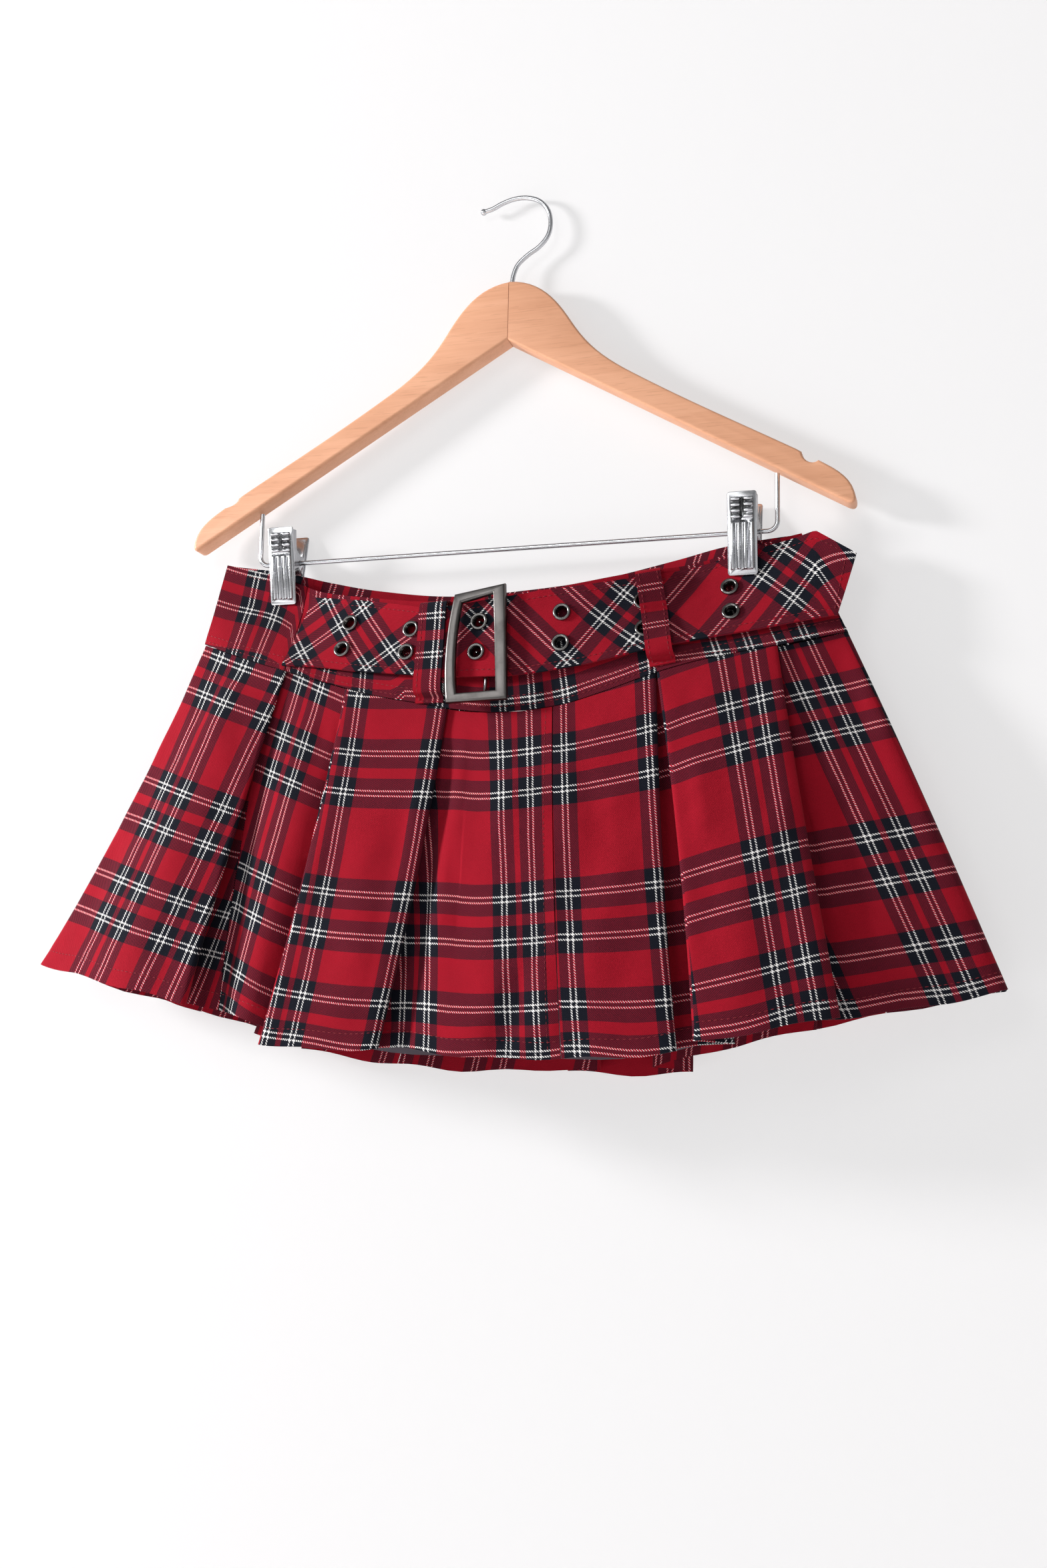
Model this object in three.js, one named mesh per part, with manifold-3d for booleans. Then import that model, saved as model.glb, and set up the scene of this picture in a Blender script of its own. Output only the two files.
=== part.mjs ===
// A low-waisted, box-pleated tartan skort, hung by its waist from a wooden clip hanger.
// Millimetres, +Z up. The origin is the inside top of the hook, where the hanger rests.
// +X runs to the right along the hanger and +Y runs back to the wall behind it.
import * as THREE from 'three';
import { mergeVertices } from 'three/addons/utils/BufferGeometryUtils.js';
import Module from 'manifold-3d';

const wasm = await Module();
wasm.setup();

// ---------------------------------------------------------------- driving dimensions

const gap = 0.3;                 // between pieces that meet
const clothThick = 1.0;          // single cloth
const beltThick = 1.6;           // doubled cloth of the belt
const trimThick = 1.2;           // belt loops and the buckle's tab

const seamEdge = { left: -206, right: 213, front: -7, back: -1 };
const hemEdge = { front: -12, back: -2 };
const seamDepth = { front: 20, back: 13 };   // how far the yoke seam stands out from its edges
const hemDepth = { front: 43, back: 25 };
const pleatGap = { top: 2.2, hem: 5, backHem: 3.6 };   // from one folded layer to the next
const backHem = { drop: 11, lift: 8 };       // the back hangs lower and its seam sits higher
const backBulge = 0.6;                       // the back's folds stand out less than the front's
const skirtRows = 6;
const foldRounding = { reach: 14, share: 0.36 };   // how much of a fold's sides its curve takes
const yokeLevels = [0, 0.2, 0.4, 0.6, 0.8, 1];     // rows of the yoke, from the waist to the seam
const clampLevel = yokeLevels[2];                  // the row where the clips let go of the cloth
const yokeColumns = 28;
const yokeSeam = 400;                              // width of the yoke at its seam, about

const wood = { thick: 14, rise: -58.5, apex: -98, slope: 0.585, length: 219, bevel: 1.6 };
const wire = { radius: 1.5, sides: 7 };
const bar = { z: -235.6, riserX: 171.7, bend: 6 };
const clip = { x: 152, width: 18, top: -213.5, bottom: -264.5, plate: 1.2, spread: 13, lug: 1 };
const clipRib = { radius: 1.1, rows: 4, pitch: 3.6, short: 5.6, columns: 4, apart: 3.8, long: 28 };
const pinch = { left: 3, right: 7.9 };       // the right clip also holds the belt's thickness
const strap = { bend: 1.3, station: 13, over: 8.2 };   // the belt, and how far the loops go over it
const eyelet = { outer: 5.5, hole: 2.9, barrel: 3.6, flange: 0.9, roll: 1.2, cut: 4.1, clear: 0.6 };
const buckle = {
  back: 9.6, thick: 3.4, bevel: 0.7, top: -272, low: -338, barX: -3, barRadius: 1.2, barStand: 2.3,
  prongRadius: 0.9,
};
const shorts = {
  top: { left: -190, right: 196, front: 6.2, back: 5.6 },
  hem: { left: -232, right: 236, front: 28, back: 22, z: -553, sideZ: -518 },
  middle: 18,
  crotch: 0.68,
  inseam: 7,
  sideTaper: 0.55,
  rows: 7,
};

const colours = {
  tartan: [0xa3182b, 0.85, 0],
  mauve: [0x6d6470, 0.8, 0],
  wood: [0xd9935f, 0.45, 0],
  steel: [0xb9bcc0, 0.25, 1],
  nickel: [0x8d8983, 0.4, 1],
  gunmetal: [0x4c4a4a, 0.35, 1],
};

// ---------------------------------------------------------------- tables

const table = (columns, rows) =>
  rows.map((row) => Object.fromEntries(columns.map((column, k) => [column, row[k]])));

// Folds of the pleated part, from its left edge to its right edge. x is given at the yoke seam,
// half way down and at the hem. bulge stands the cloth out. layer 0 is the outermost layer, and a
// row whose two layers differ is a folded edge.
const folds = table(
  ['name', 'xTop', 'xMid', 'xHem', 'zHem', 'bulgeMid', 'bulgeHem', 'layerIn', 'layerOut'],
  [
    ['leftEdge', -206, -254, -314, -501, 0, 0, 0, 0],
    ['sideFace', -172, -208, -247, -513, 3, 5, 0, 0],
    ['sideFold', -141, -167, -186, -525, 0, 5, 0, 1],
    ['sideUnder', -158, -188, -207, -521, 0, 3, 1, 2],
    ['sideRecess', -149, -165, -172, -529, -3, -8, 2, 2],
    ['rollCrest', -118, -134, -150, -534, 4, 5, 2, 2],
    ['leftBoxUnderA', -80, -90, -110, -545, 0, 1, 2, 1],
    ['leftBoxFoldA', -96.5, -112, -133, -548, 1, 2, 1, 0],
    ['leftBoxFace', -62, -76, -95, -551, 3, 4, 0, 0],
    ['leftBoxFoldB', -28, -39.5, -56, -549.5, 0, 1, 0, 1],
    ['leftBoxUnderB', -46, -58, -77, -549, 0, 0, 1, 2],
    ['centreRise', -26, -27, -36, -549, 3, 4, 2, 2],
    ['centreFaceA', 6, 4, 4, -553.5, 0, 0, 0, 0],
    ['centreSeam', 40, 47, 56, -552, 2, -1, 0, 0],
    ['centreFaceB', 74, 80, 88, -551, 1, 2, 0, 0],
    ['rightBoxFoldA', 102.2, 109.5, 121, -547, 0, 1, 0, 1],
    ['rightUnderA', 84, 92, 103, -548, 0, 0, 1, 2],
    ['rightUnderB', 121, 136, 152, -541, 0, 0, 2, 1],
    ['rightBoxFoldB', 103.4, 119.5, 131, -541.5, 0, 2, 1, 0],
    ['rightBoxFace', 139, 154, 171, -534, 3, 5, 0, 0],
    ['rightBoxFoldC', 173, 190, 210, -525.5, 0, 3, 0, 1],
    ['rightUnderC', 156, 171, 190, -529, 0, 0, 1, 2],
    ['rightFace', 185, 211, 243, -522, 2, 1, 2, 2],
    ['rightEdge', 213, 257, 298, -510, 0, 0, 0, 0],
  ],
);
const foldIndex = (name) => folds.findIndex((fold) => fold.name === name);

// Height of the seam between yoke and pleats along the front.
const seamLine = table(['x', 'z'], [
  [-206, -289], [-172, -302], [-142, -312], [-110, -322], [-77, -332], [-48, -338], [-17, -344],
  [10, -346], [44, -343], [70, -336], [103, -325], [130, -318], [157, -313], [185, -308],
  [213, -302],
]);

// Upper edge of the front and back, and the level where the clips let go of the cloth.
const frontWaist = table(['x', 'y', 'z'], [
  [-195, -1.2, -234], [-172, -1.2, -240], [-154, -1.2, -245.5], [-139, -1.3, -251.5],
  [-124, -3.6, -257.5], [-90, -11, -265], [-45, -16, -271.5], [-10, -18.5, -271.5],
  [40, -18, -267.5], [85, -12, -260], [118, -3.4, -255], [134, -1.3, -251], [150, -1.2, -247],
  [170, -1.2, -242], [186, -1.2, -239],
]);
const frontClamp = table(['x', 'y', 'z'], [
  [-200, -3, -258], [-172, -1.6, -264], [-154, -1.6, -267], [-139, -1.7, -270],
  [-124, -5.5, -279], [-90, -14, -290], [-45, -19.5, -298], [-10, -22, -300], [40, -22, -297],
  [85, -16, -288], [118, -6, -284], [134, -2, -283], [150, -1.8, -281], [170, -1.8, -273],
  [196, -3, -266],
]);
const backWaist = table(['x', 'y', 'z'], [
  [-195, 1.2, -234], [-165, 1.2, -239], [-154, 1.2, -241.5], [-139, 1.3, -245], [-124, 2.6, -249],
  [-90, 6, -256], [-40, 9, -262], [10, 9, -261], [60, 8, -257], [110, 4, -249], [134, 1.3, -244.5],
  [150, 1.2, -242], [170, 1.2, -240], [186, 1.2, -239],
]);
const backClamp = table(['x', 'y', 'z'], [
  [-200, 1.5, -258], [-165, 1.6, -265], [-154, 1.6, -267], [-139, 1.7, -270], [-124, 3.4, -275],
  [-90, 7, -285], [-40, 10, -292], [10, 10, -292], [60, 9, -287], [110, 5.4, -277],
  [134, 1.7, -270], [150, 1.6, -267], [170, 1.6, -265], [196, 1.5, -264],
]);

// The belt's two edges, and how far its middle stands off the yoke at each of them.
const beltRows = table(['xTop', 'zTop', 'xLow', 'zLow', 'standTop', 'standLow'], [
  [-130, -261, -143, -309, 2.2, 2.2],
  [-108, -265, -118, -311.5, 3.4, 3.6],
  [-85, -269, -92, -316, 4, 4.2],
  [-45, -277, -50, -321, 5.2, 5.2],
  [-25, -277.5, -28, -324, 6.9, 6.7],
  [14, -273.5, 13, -325, 6.9, 6.7],
  [34, -270.5, 34, -323, 5.2, 5.4],
  [60, -268, 62, -319, 4.6, 5],
  [90, -264, 95, -311.5, 3.8, 4.4],
  [118, -258.5, 124, -306, 2.6, 4.4],
  [134, -254, 139, -303.5, 1.9, 4.8],
  [162, -247, 167, -299.5, 1.8, 5],
  [182, -243, 185, -296.5, 3, 5],
  [195, -239, 197, -294.5, 4, 5],
  [219, -255, 208, -293, 5, 5],
]);
const eyeletPairs = table(['along', 'upper', 'lower'], [
  [-95, 0.34, 0.72], [-52, 0.34, 0.68], [-7, 0.28, 0.68], [44, 0.31, 0.69], [91, 0.34, 0.72],
  [142, 0.39, 0.72],
]);
const loops = table(['name', 'topLeft', 'topRight', 'topZ', 'lowLeft', 'lowRight', 'lowZ', 'rise'], [
  ['belt_loop_left', -48, -30, -272.8, -48, -30, -339, 0],
  ['belt_loop_right', 88, 102.5, -260.2, 99, 114.5, -322, 2.8],
]);

// ---------------------------------------------------------------- small maths

const lerp = (a, b, t) => a + (b - a) * t;
const clamp01 = (t) => Math.min(1, Math.max(0, t));
const smooth = (t) => clamp01(t) ** 2 * (3 - 2 * clamp01(t));
const through = (top, mid, low, v) =>
  top * (1 - v) * (1 - 2 * v) + 4 * mid * v * (1 - v) + low * v * (2 * v - 1);
const vec = (x, y, z) => new THREE.Vector3(x, y, z);

// Value of one column of a table at x, on a smooth curve through its rows.
function along(rows, x, column) {
  let k = 0;
  while (k < rows.length - 2 && x > rows[k + 1].x) k += 1;
  const at = (i) => rows[Math.min(rows.length - 1, Math.max(0, i))];
  const t = clamp01((x - rows[k].x) / (rows[k + 1].x - rows[k].x));
  const slope = (i) => (at(i + 1)[column] - at(i - 1)[column]) / (at(i + 1).x - at(i - 1).x);
  const span = rows[k + 1].x - rows[k].x;
  const [a, b] = [rows[k][column], rows[k + 1][column]];
  const rise = span * slope(k);
  const fall = span * slope(k + 1);
  return a * (1 + 2 * t) * (1 - t) ** 2 + rise * t * (1 - t) ** 2
    + b * t * t * (3 - 2 * t) - fall * t * t * (1 - t);
}

// ---------------------------------------------------------------- solids from sheets

// A closed wall round a sheet of points, sheet[column][row]. Its outside is to the side of
// down x across, so columns that run to the right at the front face forwards.
function wall(sheet, thickness, material, name) {
  const across = sheet.length;
  const down = sheet[0].length;
  const outer = [];
  const inner = [];
  const clampTo = (k, n) => Math.min(n - 1, Math.max(0, k));
  for (let i = 0; i < across; i += 1) {
    for (let j = 0; j < down; j += 1) {
      const side = sheet[clampTo(i + 1, across)][j].clone().sub(sheet[clampTo(i - 1, across)][j]);
      const fall = sheet[i][clampTo(j + 1, down)].clone().sub(sheet[i][clampTo(j - 1, down)]);
      const normal = fall.cross(side).normalize().multiplyScalar(thickness / 2);
      outer.push(sheet[i][j].clone().add(normal));
      inner.push(sheet[i][j].clone().sub(normal));
    }
  }
  const positions = [...outer, ...inner].flatMap((p) => [p.x, p.y, p.z]);
  const index = [];
  const id = (i, j) => i * down + j;
  const count = across * down;
  const quad = (a, b, c, d) => index.push(a, b, c, a, c, d);
  for (let i = 0; i < across - 1; i += 1) {
    for (let j = 0; j < down - 1; j += 1) {
      quad(id(i, j), id(i, j + 1), id(i + 1, j + 1), id(i + 1, j));
      quad(count + id(i, j), count + id(i + 1, j), count + id(i + 1, j + 1), count + id(i, j + 1));
    }
    quad(id(i, 0), id(i + 1, 0), count + id(i + 1, 0), count + id(i, 0));
    const last = down - 1;
    quad(id(i, last), count + id(i, last), count + id(i + 1, last), id(i + 1, last));
  }
  for (let j = 0; j < down - 1; j += 1) {
    quad(id(0, j), count + id(0, j), count + id(0, j + 1), id(0, j + 1));
    const end = across - 1;
    quad(id(end, j), id(end, j + 1), count + id(end, j + 1), count + id(end, j));
  }
  const geometry = new THREE.BufferGeometry();
  geometry.setAttribute('position', new THREE.Float32BufferAttribute(positions, 3));
  geometry.setIndex(index);
  return named(geometry, material, name);
}

function named(geometry, material, name) {
  const [color, roughness, metalness] = colours[material];
  const finish = new THREE.MeshStandardMaterial({ color, roughness, metalness });
  const mesh = new THREE.Mesh(geometry, finish);
  mesh.name = name;
  return mesh;
}

// A three.js geometry as a solid that can be joined and cut, and back again.
function solid(geometry) {
  const bare = geometry.clone();
  bare.deleteAttribute('normal');
  bare.deleteAttribute('uv');
  const merged = mergeVertices(bare, 1e-4);
  return new wasm.Manifold(new wasm.Mesh({
    numProp: 3,
    vertProperties: new Float32Array(merged.attributes.position.array),
    triVerts: new Uint32Array(merged.index.array),
  }));
}

function geometryOf(manifold) {
  const mesh = manifold.getMesh();
  const geometry = new THREE.BufferGeometry();
  geometry.setAttribute('position', new THREE.Float32BufferAttribute(mesh.vertProperties, 3));
  geometry.setIndex(Array.from(mesh.triVerts));
  return geometry;
}

const placed = (geometry, x, y, z) => geometry.translate(x, y, z);

function tube(points, radius, steps, sides = wire.sides) {
  const path = new THREE.CatmullRomCurve3(points, false, 'centripetal');
  const ring = new THREE.Shape();
  for (let k = 0; k < sides; k += 1) {
    const angle = (2 * Math.PI * k) / sides;
    const [x, y] = [radius * Math.cos(angle), radius * Math.sin(angle)];
    if (k === 0) ring.moveTo(x, y);
    else ring.lineTo(x, y);
  }
  return new THREE.ExtrudeGeometry(ring, { steps, extrudePath: path, bevelEnabled: false });
}

// ---------------------------------------------------------------- the pleated part

// How full the front is at a share t of its width: 0 at the edges and 1 in the middle.
const fullness = (t) => (1 - Math.abs(2 * clamp01(t) - 1) ** 2.4) ** 0.8;
const foldX = (fold, v) => through(fold.xTop, fold.xMid, fold.xHem, v);

function seamZ(x, isBack) {
  const t = (x - seamEdge.left) / (seamEdge.right - seamEdge.left);
  if (!isBack) return along(seamLine, x, 'z');
  const mirrored = seamEdge.left + seamEdge.right - x;
  const tilt = along(seamLine, seamEdge.right, 'z') - along(seamLine, seamEdge.left, 'z');
  return along(seamLine, mirrored, 'z') - tilt * (1 - 2 * t) + backHem.lift * Math.sin(Math.PI * t);
}

// Middle of the outermost layer, at a share t of the width and v of the drop to the hem.
function baseY(t, v, isBack) {
  if (isBack) {
    const edge = lerp(seamEdge.back, hemEdge.back, v);
    return edge + lerp(seamDepth.back, hemDepth.back, v) * fullness(t);
  }
  const edge = lerp(seamEdge.front, hemEdge.front, v);
  return edge - lerp(seamDepth.front, hemDepth.front, v) * fullness(t);
}

// Corners of the section at v, round the whole garment: the front from left to right, then the
// back from right to left, which is pleated as the front is.
function sectionCorners(v) {
  const [left, right] = [foldX(folds[0], v), foldX(folds.at(-1), v)];
  const corners = [];
  for (const isBack of [false, true]) {
    folds.forEach((fold, index) => {
      const x = foldX(fold, v);
      const t = clamp01((x - left) / (right - left));
      const side = isBack ? 1 : -1;
      const share = isBack ? backBulge : 1;
      const bulge = share * through(0, fold.bulgeMid, fold.bulgeHem, v);
      const tilt = folds.at(-1).zHem - folds[0].zHem;
      const sag = isBack ? tilt * (1 - 2 * t) - backHem.drop * Math.sin(Math.PI * t) : 0;
      const layers = [...new Set([fold.layerIn, fold.layerOut])];
      layers.forEach((layer) => {
        const step = layer * lerp(pleatGap.top, isBack ? pleatGap.backHem : pleatGap.hem, v);
        corners.push({
          index,
          isBack,
          isFold: layers.length > 1,
          point: vec(
            isBack ? left + right - x : x,
            baseY(t, v, isBack) + side * (bulge - step),
            fold.zHem + sag,
          ),
        });
      });
    });
  }
  return corners;
}

// Points of a section with its corners rounded, from one cut corner to another.
function roundedRun(corners, from, to) {
  const count = corners.length;
  const at = (k) => corners[(k + count) % count];
  const stop = to > from ? to : to + count;
  const inset = (k, other) => {
    const way = at(other).point.clone().sub(at(k).point);
    return at(k).point.clone().addScaledVector(way.setLength(1), gap);
  };
  const run = [inset(from, from + 1)];
  for (let k = from + 1; k < stop; k += 1) {
    const corner = at(k).point;
    const [before, after] = [at(k - 1).point, at(k + 1).point];
    const nearest = Math.min(before.distanceTo(corner), after.distanceTo(corner));
    const reach = Math.min(foldRounding.reach, foldRounding.share * nearest);
    const start = corner.clone().add(before.clone().sub(corner).setLength(reach));
    const end = corner.clone().add(after.clone().sub(corner).setLength(reach));
    run.push(start);
    if (!at(k).isFold) {
      run.push(corner.clone().multiplyScalar(2).add(start).add(end).divideScalar(4));
    }
    run.push(end);
  }
  run.push(inset(stop, stop - 1));
  return run;
}

function skirtPanel(name, from, to) {
  const corners = sectionCorners(0);
  const find = ([foldName, isBack]) =>
    corners.findIndex((c) => c.index === foldIndex(foldName) && c.isBack === isBack);
  const [start, stop] = [find(from), find(to)];
  const runs = [];
  for (let row = 0; row <= skirtRows; row += 1) {
    runs.push(roundedRun(sectionCorners(row / skirtRows), start, stop));
  }
  const sheet = runs[0].map((top, i) => runs.map((run, row) => {
    const v = row / skirtRows;
    const isBack = top.y > (seamEdge.front + seamEdge.back) / 2;
    const z = lerp(seamZ(top.x, isBack) - 2 * gap, run[i].z, v);
    return vec(run[i].x, run[i].y, z);
  }));
  return wall(sheet, clothThick, 'tartan', name);
}

// ---------------------------------------------------------------- the yoke

// A point of the yoke's middle surface: t across, w from the waist at 0 to the seam at 1.
function yokePoint(t, w, isBack) {
  const [upper, level] = isBack ? [backWaist, backClamp] : [frontWaist, frontClamp];
  const read = (rows) => {
    const x = lerp(rows[0].x, rows.at(-1).x, t);
    return vec(x, along(rows, x, 'y'), along(rows, x, 'z'));
  };
  const x = lerp(seamEdge.left, seamEdge.right, t);
  const seam = vec(x, baseY(t, 0, isBack), seamZ(x, isBack));
  if (w < clampLevel) return read(upper).lerp(read(level), w / clampLevel);
  return read(level).lerp(seam, (w - clampLevel) / (1 - clampLevel));
}

// Middle of the front yoke's cloth at a given x and z.
function yokeY(x, z) {
  let t = 0.5;
  let w = 0.5;
  for (let step = 0; step < 12; step += 1) {
    const [high, low] = [yokePoint(t, 0, false), yokePoint(t, 1, false)];
    const level = yokePoint(t, clampLevel, false);
    w = z > level.z
      ? clampLevel * clamp01((high.z - z) / (high.z - level.z))
      : clampLevel + (1 - clampLevel) * clamp01((level.z - z) / (level.z - low.z));
    const [left, right] = [yokePoint(0, w, false), yokePoint(1, w, false)];
    t = clamp01((x - left.x) / (right.x - left.x));
  }
  return yokePoint(t, w, false).y;
}

function yokePanel(name, steps) {
  const sheet = steps.map(([t, isBack]) => yokeLevels.map((w) => yokePoint(t, w, isBack)));
  return wall(sheet, clothThick, 'tartan', name);
}

function stepsAcross(from, to, isBack) {
  const count = Math.max(1, Math.round(Math.abs(to - from) * yokeColumns));
  return Array.from({ length: count + 1 }, (_, k) => [lerp(from, to, k / count), isBack]);
}

const seamShare = (x) => (x - seamEdge.left) / (seamEdge.right - seamEdge.left);
const sideSeamFront = seamShare(folds[foldIndex('sideFold')].xTop);
const sideSeamBack = seamShare(seamEdge.left + seamEdge.right - folds[foldIndex('sideFace')].xTop);
const seamStep = gap / yokeSeam;

// ---------------------------------------------------------------- belt, loops, buckle

// A point of the belt: along by the x of its upper edge, v from the upper edge to the lower.
function beltPoint(x, v) {
  let k = 0;
  while (k < beltRows.length - 2 && x > beltRows[k + 1].xTop) k += 1;
  const [a, b] = [beltRows[k], beltRows[k + 1]];
  const t = clamp01((x - a.xTop) / (b.xTop - a.xTop));
  const mix = (column) => lerp(a[column], b[column], t);
  const edgeY = (px, pz, stand) => yokeY(px, pz) - stand;
  const high = edgeY(mix('xTop'), mix('zTop'), mix('standTop'));
  const low = edgeY(mix('xLow'), mix('zLow'), mix('standLow'));
  return vec(
    lerp(mix('xTop'), mix('xLow'), v),
    lerp(high, low, v ** strap.bend),
    lerp(mix('zTop'), mix('zLow'), v),
  );
}

function beltStations() {
  const stations = [];
  beltRows.slice(0, -1).forEach((row, k) => {
    const next = beltRows[k + 1];
    const count = Math.max(1, Math.round((next.xTop - row.xTop) / strap.station));
    for (let i = 0; i < count; i += 1) stations.push(lerp(row.xTop, next.xTop, i / count));
  });
  stations.push(beltRows.at(-1).xTop);
  return stations;
}

function eyeletFrame(pair, v) {
  const point = beltPoint(pair.along, v);
  const side = beltPoint(pair.along + 4, v).sub(beltPoint(pair.along - 4, v));
  const fall = beltPoint(pair.along, v + 0.08).sub(beltPoint(pair.along, v - 0.08));
  return { point, normal: fall.cross(side).normalize() };
}

const eyelets = eyeletPairs.flatMap((pair, k) => [
  { name: `eyelet_${k + 1}_upper`, ...eyeletFrame(pair, pair.upper) },
  { name: `eyelet_${k + 1}_lower`, ...eyeletFrame(pair, pair.lower) },
]);
const upAxis = vec(0, 1, 0);

function belt() {
  const levels = [0, 0.3, 0.55, 1];
  const sheet = beltStations().map((x) => levels.map((v) => beltPoint(x, v)));
  let body = solid(wall(sheet, beltThick, 'tartan', 'belt').geometry);
  eyelets.forEach(({ point, normal }) => {
    const punch = new THREE.CylinderGeometry(eyelet.cut, eyelet.cut, 8, 10);
    punch.applyQuaternion(new THREE.Quaternion().setFromUnitVectors(upAxis, normal));
    body = body.subtract(solid(placed(punch, point.x, point.y, point.z)));
  });
  return named(geometryOf(body), 'tartan', 'belt');
}

// A rolled eyelet: a barrel through the belt with a flange on each face.
function eyeletRing({ name, point, normal }) {
  const face = beltThick / 2 + eyelet.clear;
  const profile = [
    [eyelet.hole, -face - eyelet.flange],
    [eyelet.outer, -face - eyelet.flange],
    [eyelet.outer, -face],
    [eyelet.barrel, -face],
    [eyelet.barrel, face],
    [eyelet.outer, face],
    [eyelet.outer - eyelet.roll, face + eyelet.flange],
    [eyelet.hole, face + eyelet.flange],
    [eyelet.hole, -face - eyelet.flange],
  ].map(([radius, height]) => new THREE.Vector2(radius, height));
  const mesh = named(new THREE.LatheGeometry(profile, 12), 'gunmetal', name);
  mesh.position.copy(point);
  mesh.quaternion.setFromUnitVectors(upAxis, normal);
  return mesh;
}

// A belt loop lies on the yoke at both ends and goes over the belt between them.
function beltLoop(row) {
  const seated = clothThick / 2 + gap + trimThick / 2;
  const { over } = strap;
  const path = table(['share', 'stand'], [
    [0, seated], [0.012, 3], [0.026, over - 1], [0.045, over], [0.3, over], [0.55, over],
    [0.84, over], [0.9, over - 1.5], [0.945, seated], [1, seated],
  ]);
  const place = ({ share, stand }, side) => {
    const [left, right] = [lerp(row.topLeft, row.lowLeft, share), lerp(row.topRight, row.lowRight, share)];
    const x = lerp(left, right, side);
    const z = lerp(row.topZ, row.lowZ, share) + row.rise * side;
    return vec(x, yokeY(x, z) - stand, z);
  };
  const sheet = [0, 0.5, 1].map((side) => path.map((step) => place(step, side)));
  return wall(sheet, trimThick, 'tartan', row.name);
}

function beltTab() {
  const [left, right, top, low] = [buckle.barX + buckle.barRadius + gap, 34, -283, -319];
  const stand = clothThick / 2 + gap + trimThick / 2 + 0.3;
  const sheet = [0, 0.33, 0.67, 1].map((u) => [0, 0.5, 1].map((v) => {
    const [x, z] = [lerp(left, right, u), lerp(top, low, v)];
    return vec(x, yokeY(x, z) - stand, z);
  }));
  return wall(sheet, trimThick, 'tartan', 'belt_tab');
}

// The buckle lies in a plane that leans with the yoke behind it.
const buckleEnd = (z) => vec(buckle.barX, yokeY(buckle.barX, z) - buckle.back, z);
const [buckleTop, buckleLow] = [buckleEnd(buckle.top), buckleEnd(buckle.low)];
const buckleLean = Math.atan2(buckleTop.y - buckleLow.y, buckleTop.z - buckleLow.z);

function buckleFrame() {
  const outline = new THREE.Shape();
  outline.moveTo(-23, 33);
  outline.quadraticCurveTo(-29.5, -2, -24.5, -37);
  outline.lineTo(14.5, -36);
  outline.lineTo(9.5, 38.5);
  outline.closePath();
  const opening = new THREE.Path();
  opening.moveTo(-18, 27.5);
  opening.lineTo(2, 32.5);
  opening.lineTo(7, -30);
  opening.lineTo(-18, -31);
  opening.quadraticCurveTo(-22.5, -2, -18, 27.5);
  outline.holes.push(opening);
  const { bevel } = buckle;
  const geometry = new THREE.ExtrudeGeometry(outline, {
    depth: buckle.thick - 2 * bevel,
    curveSegments: 8,
    bevelThickness: bevel,
    bevelSize: bevel,
    bevelOffset: -bevel,
    bevelSegments: 1,
  });
  geometry.translate(0, 0, bevel);
  geometry.rotateX(Math.PI / 2);
  const mesh = named(geometry, 'nickel', 'buckle_frame');
  mesh.rotation.x = -buckleLean;
  const middle = buckleTop.clone().add(buckleLow).divideScalar(2);
  mesh.position.set(0, middle.y, middle.z);
  return mesh;
}

function buckleBar() {
  const rows = table(['z', 'stand'], [
    [-269.6, buckle.back - gap - buckle.barRadius], [-271.5, 4.4], [-275, buckle.barStand],
    [-290, buckle.barStand], [-305, buckle.barStand], [-320, buckle.barStand],
    [-331, buckle.barStand], [-335.5, 4.4], [-338.5, buckle.back - gap - buckle.barRadius],
  ]);
  const points = rows.map(({ z, stand }) => vec(buckle.barX, yokeY(buckle.barX, z) - stand, z));
  return named(tube(points, buckle.barRadius, 12, 6), 'nickel', 'buckle_bar');
}

function prong(name, eye) {
  const reach = eye.point.clone().addScaledVector(eye.normal, 2.2);
  const inside = eye.point.clone().addScaledVector(eye.normal, -2.4);
  const side = Math.sign(eye.point.x - buckle.barX);
  const start = buckle.barX + side * (buckle.barRadius + gap + 0.1);
  const root = vec(start, yokeY(start, inside.z) - buckle.barStand, inside.z);
  const bend = inside.clone().lerp(root, 0.3);
  const rod = tube([root, bend, eye.point, reach], buckle.prongRadius, 6, 6);
  return named(rod, 'nickel', name);
}

// ---------------------------------------------------------------- inner shorts

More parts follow.
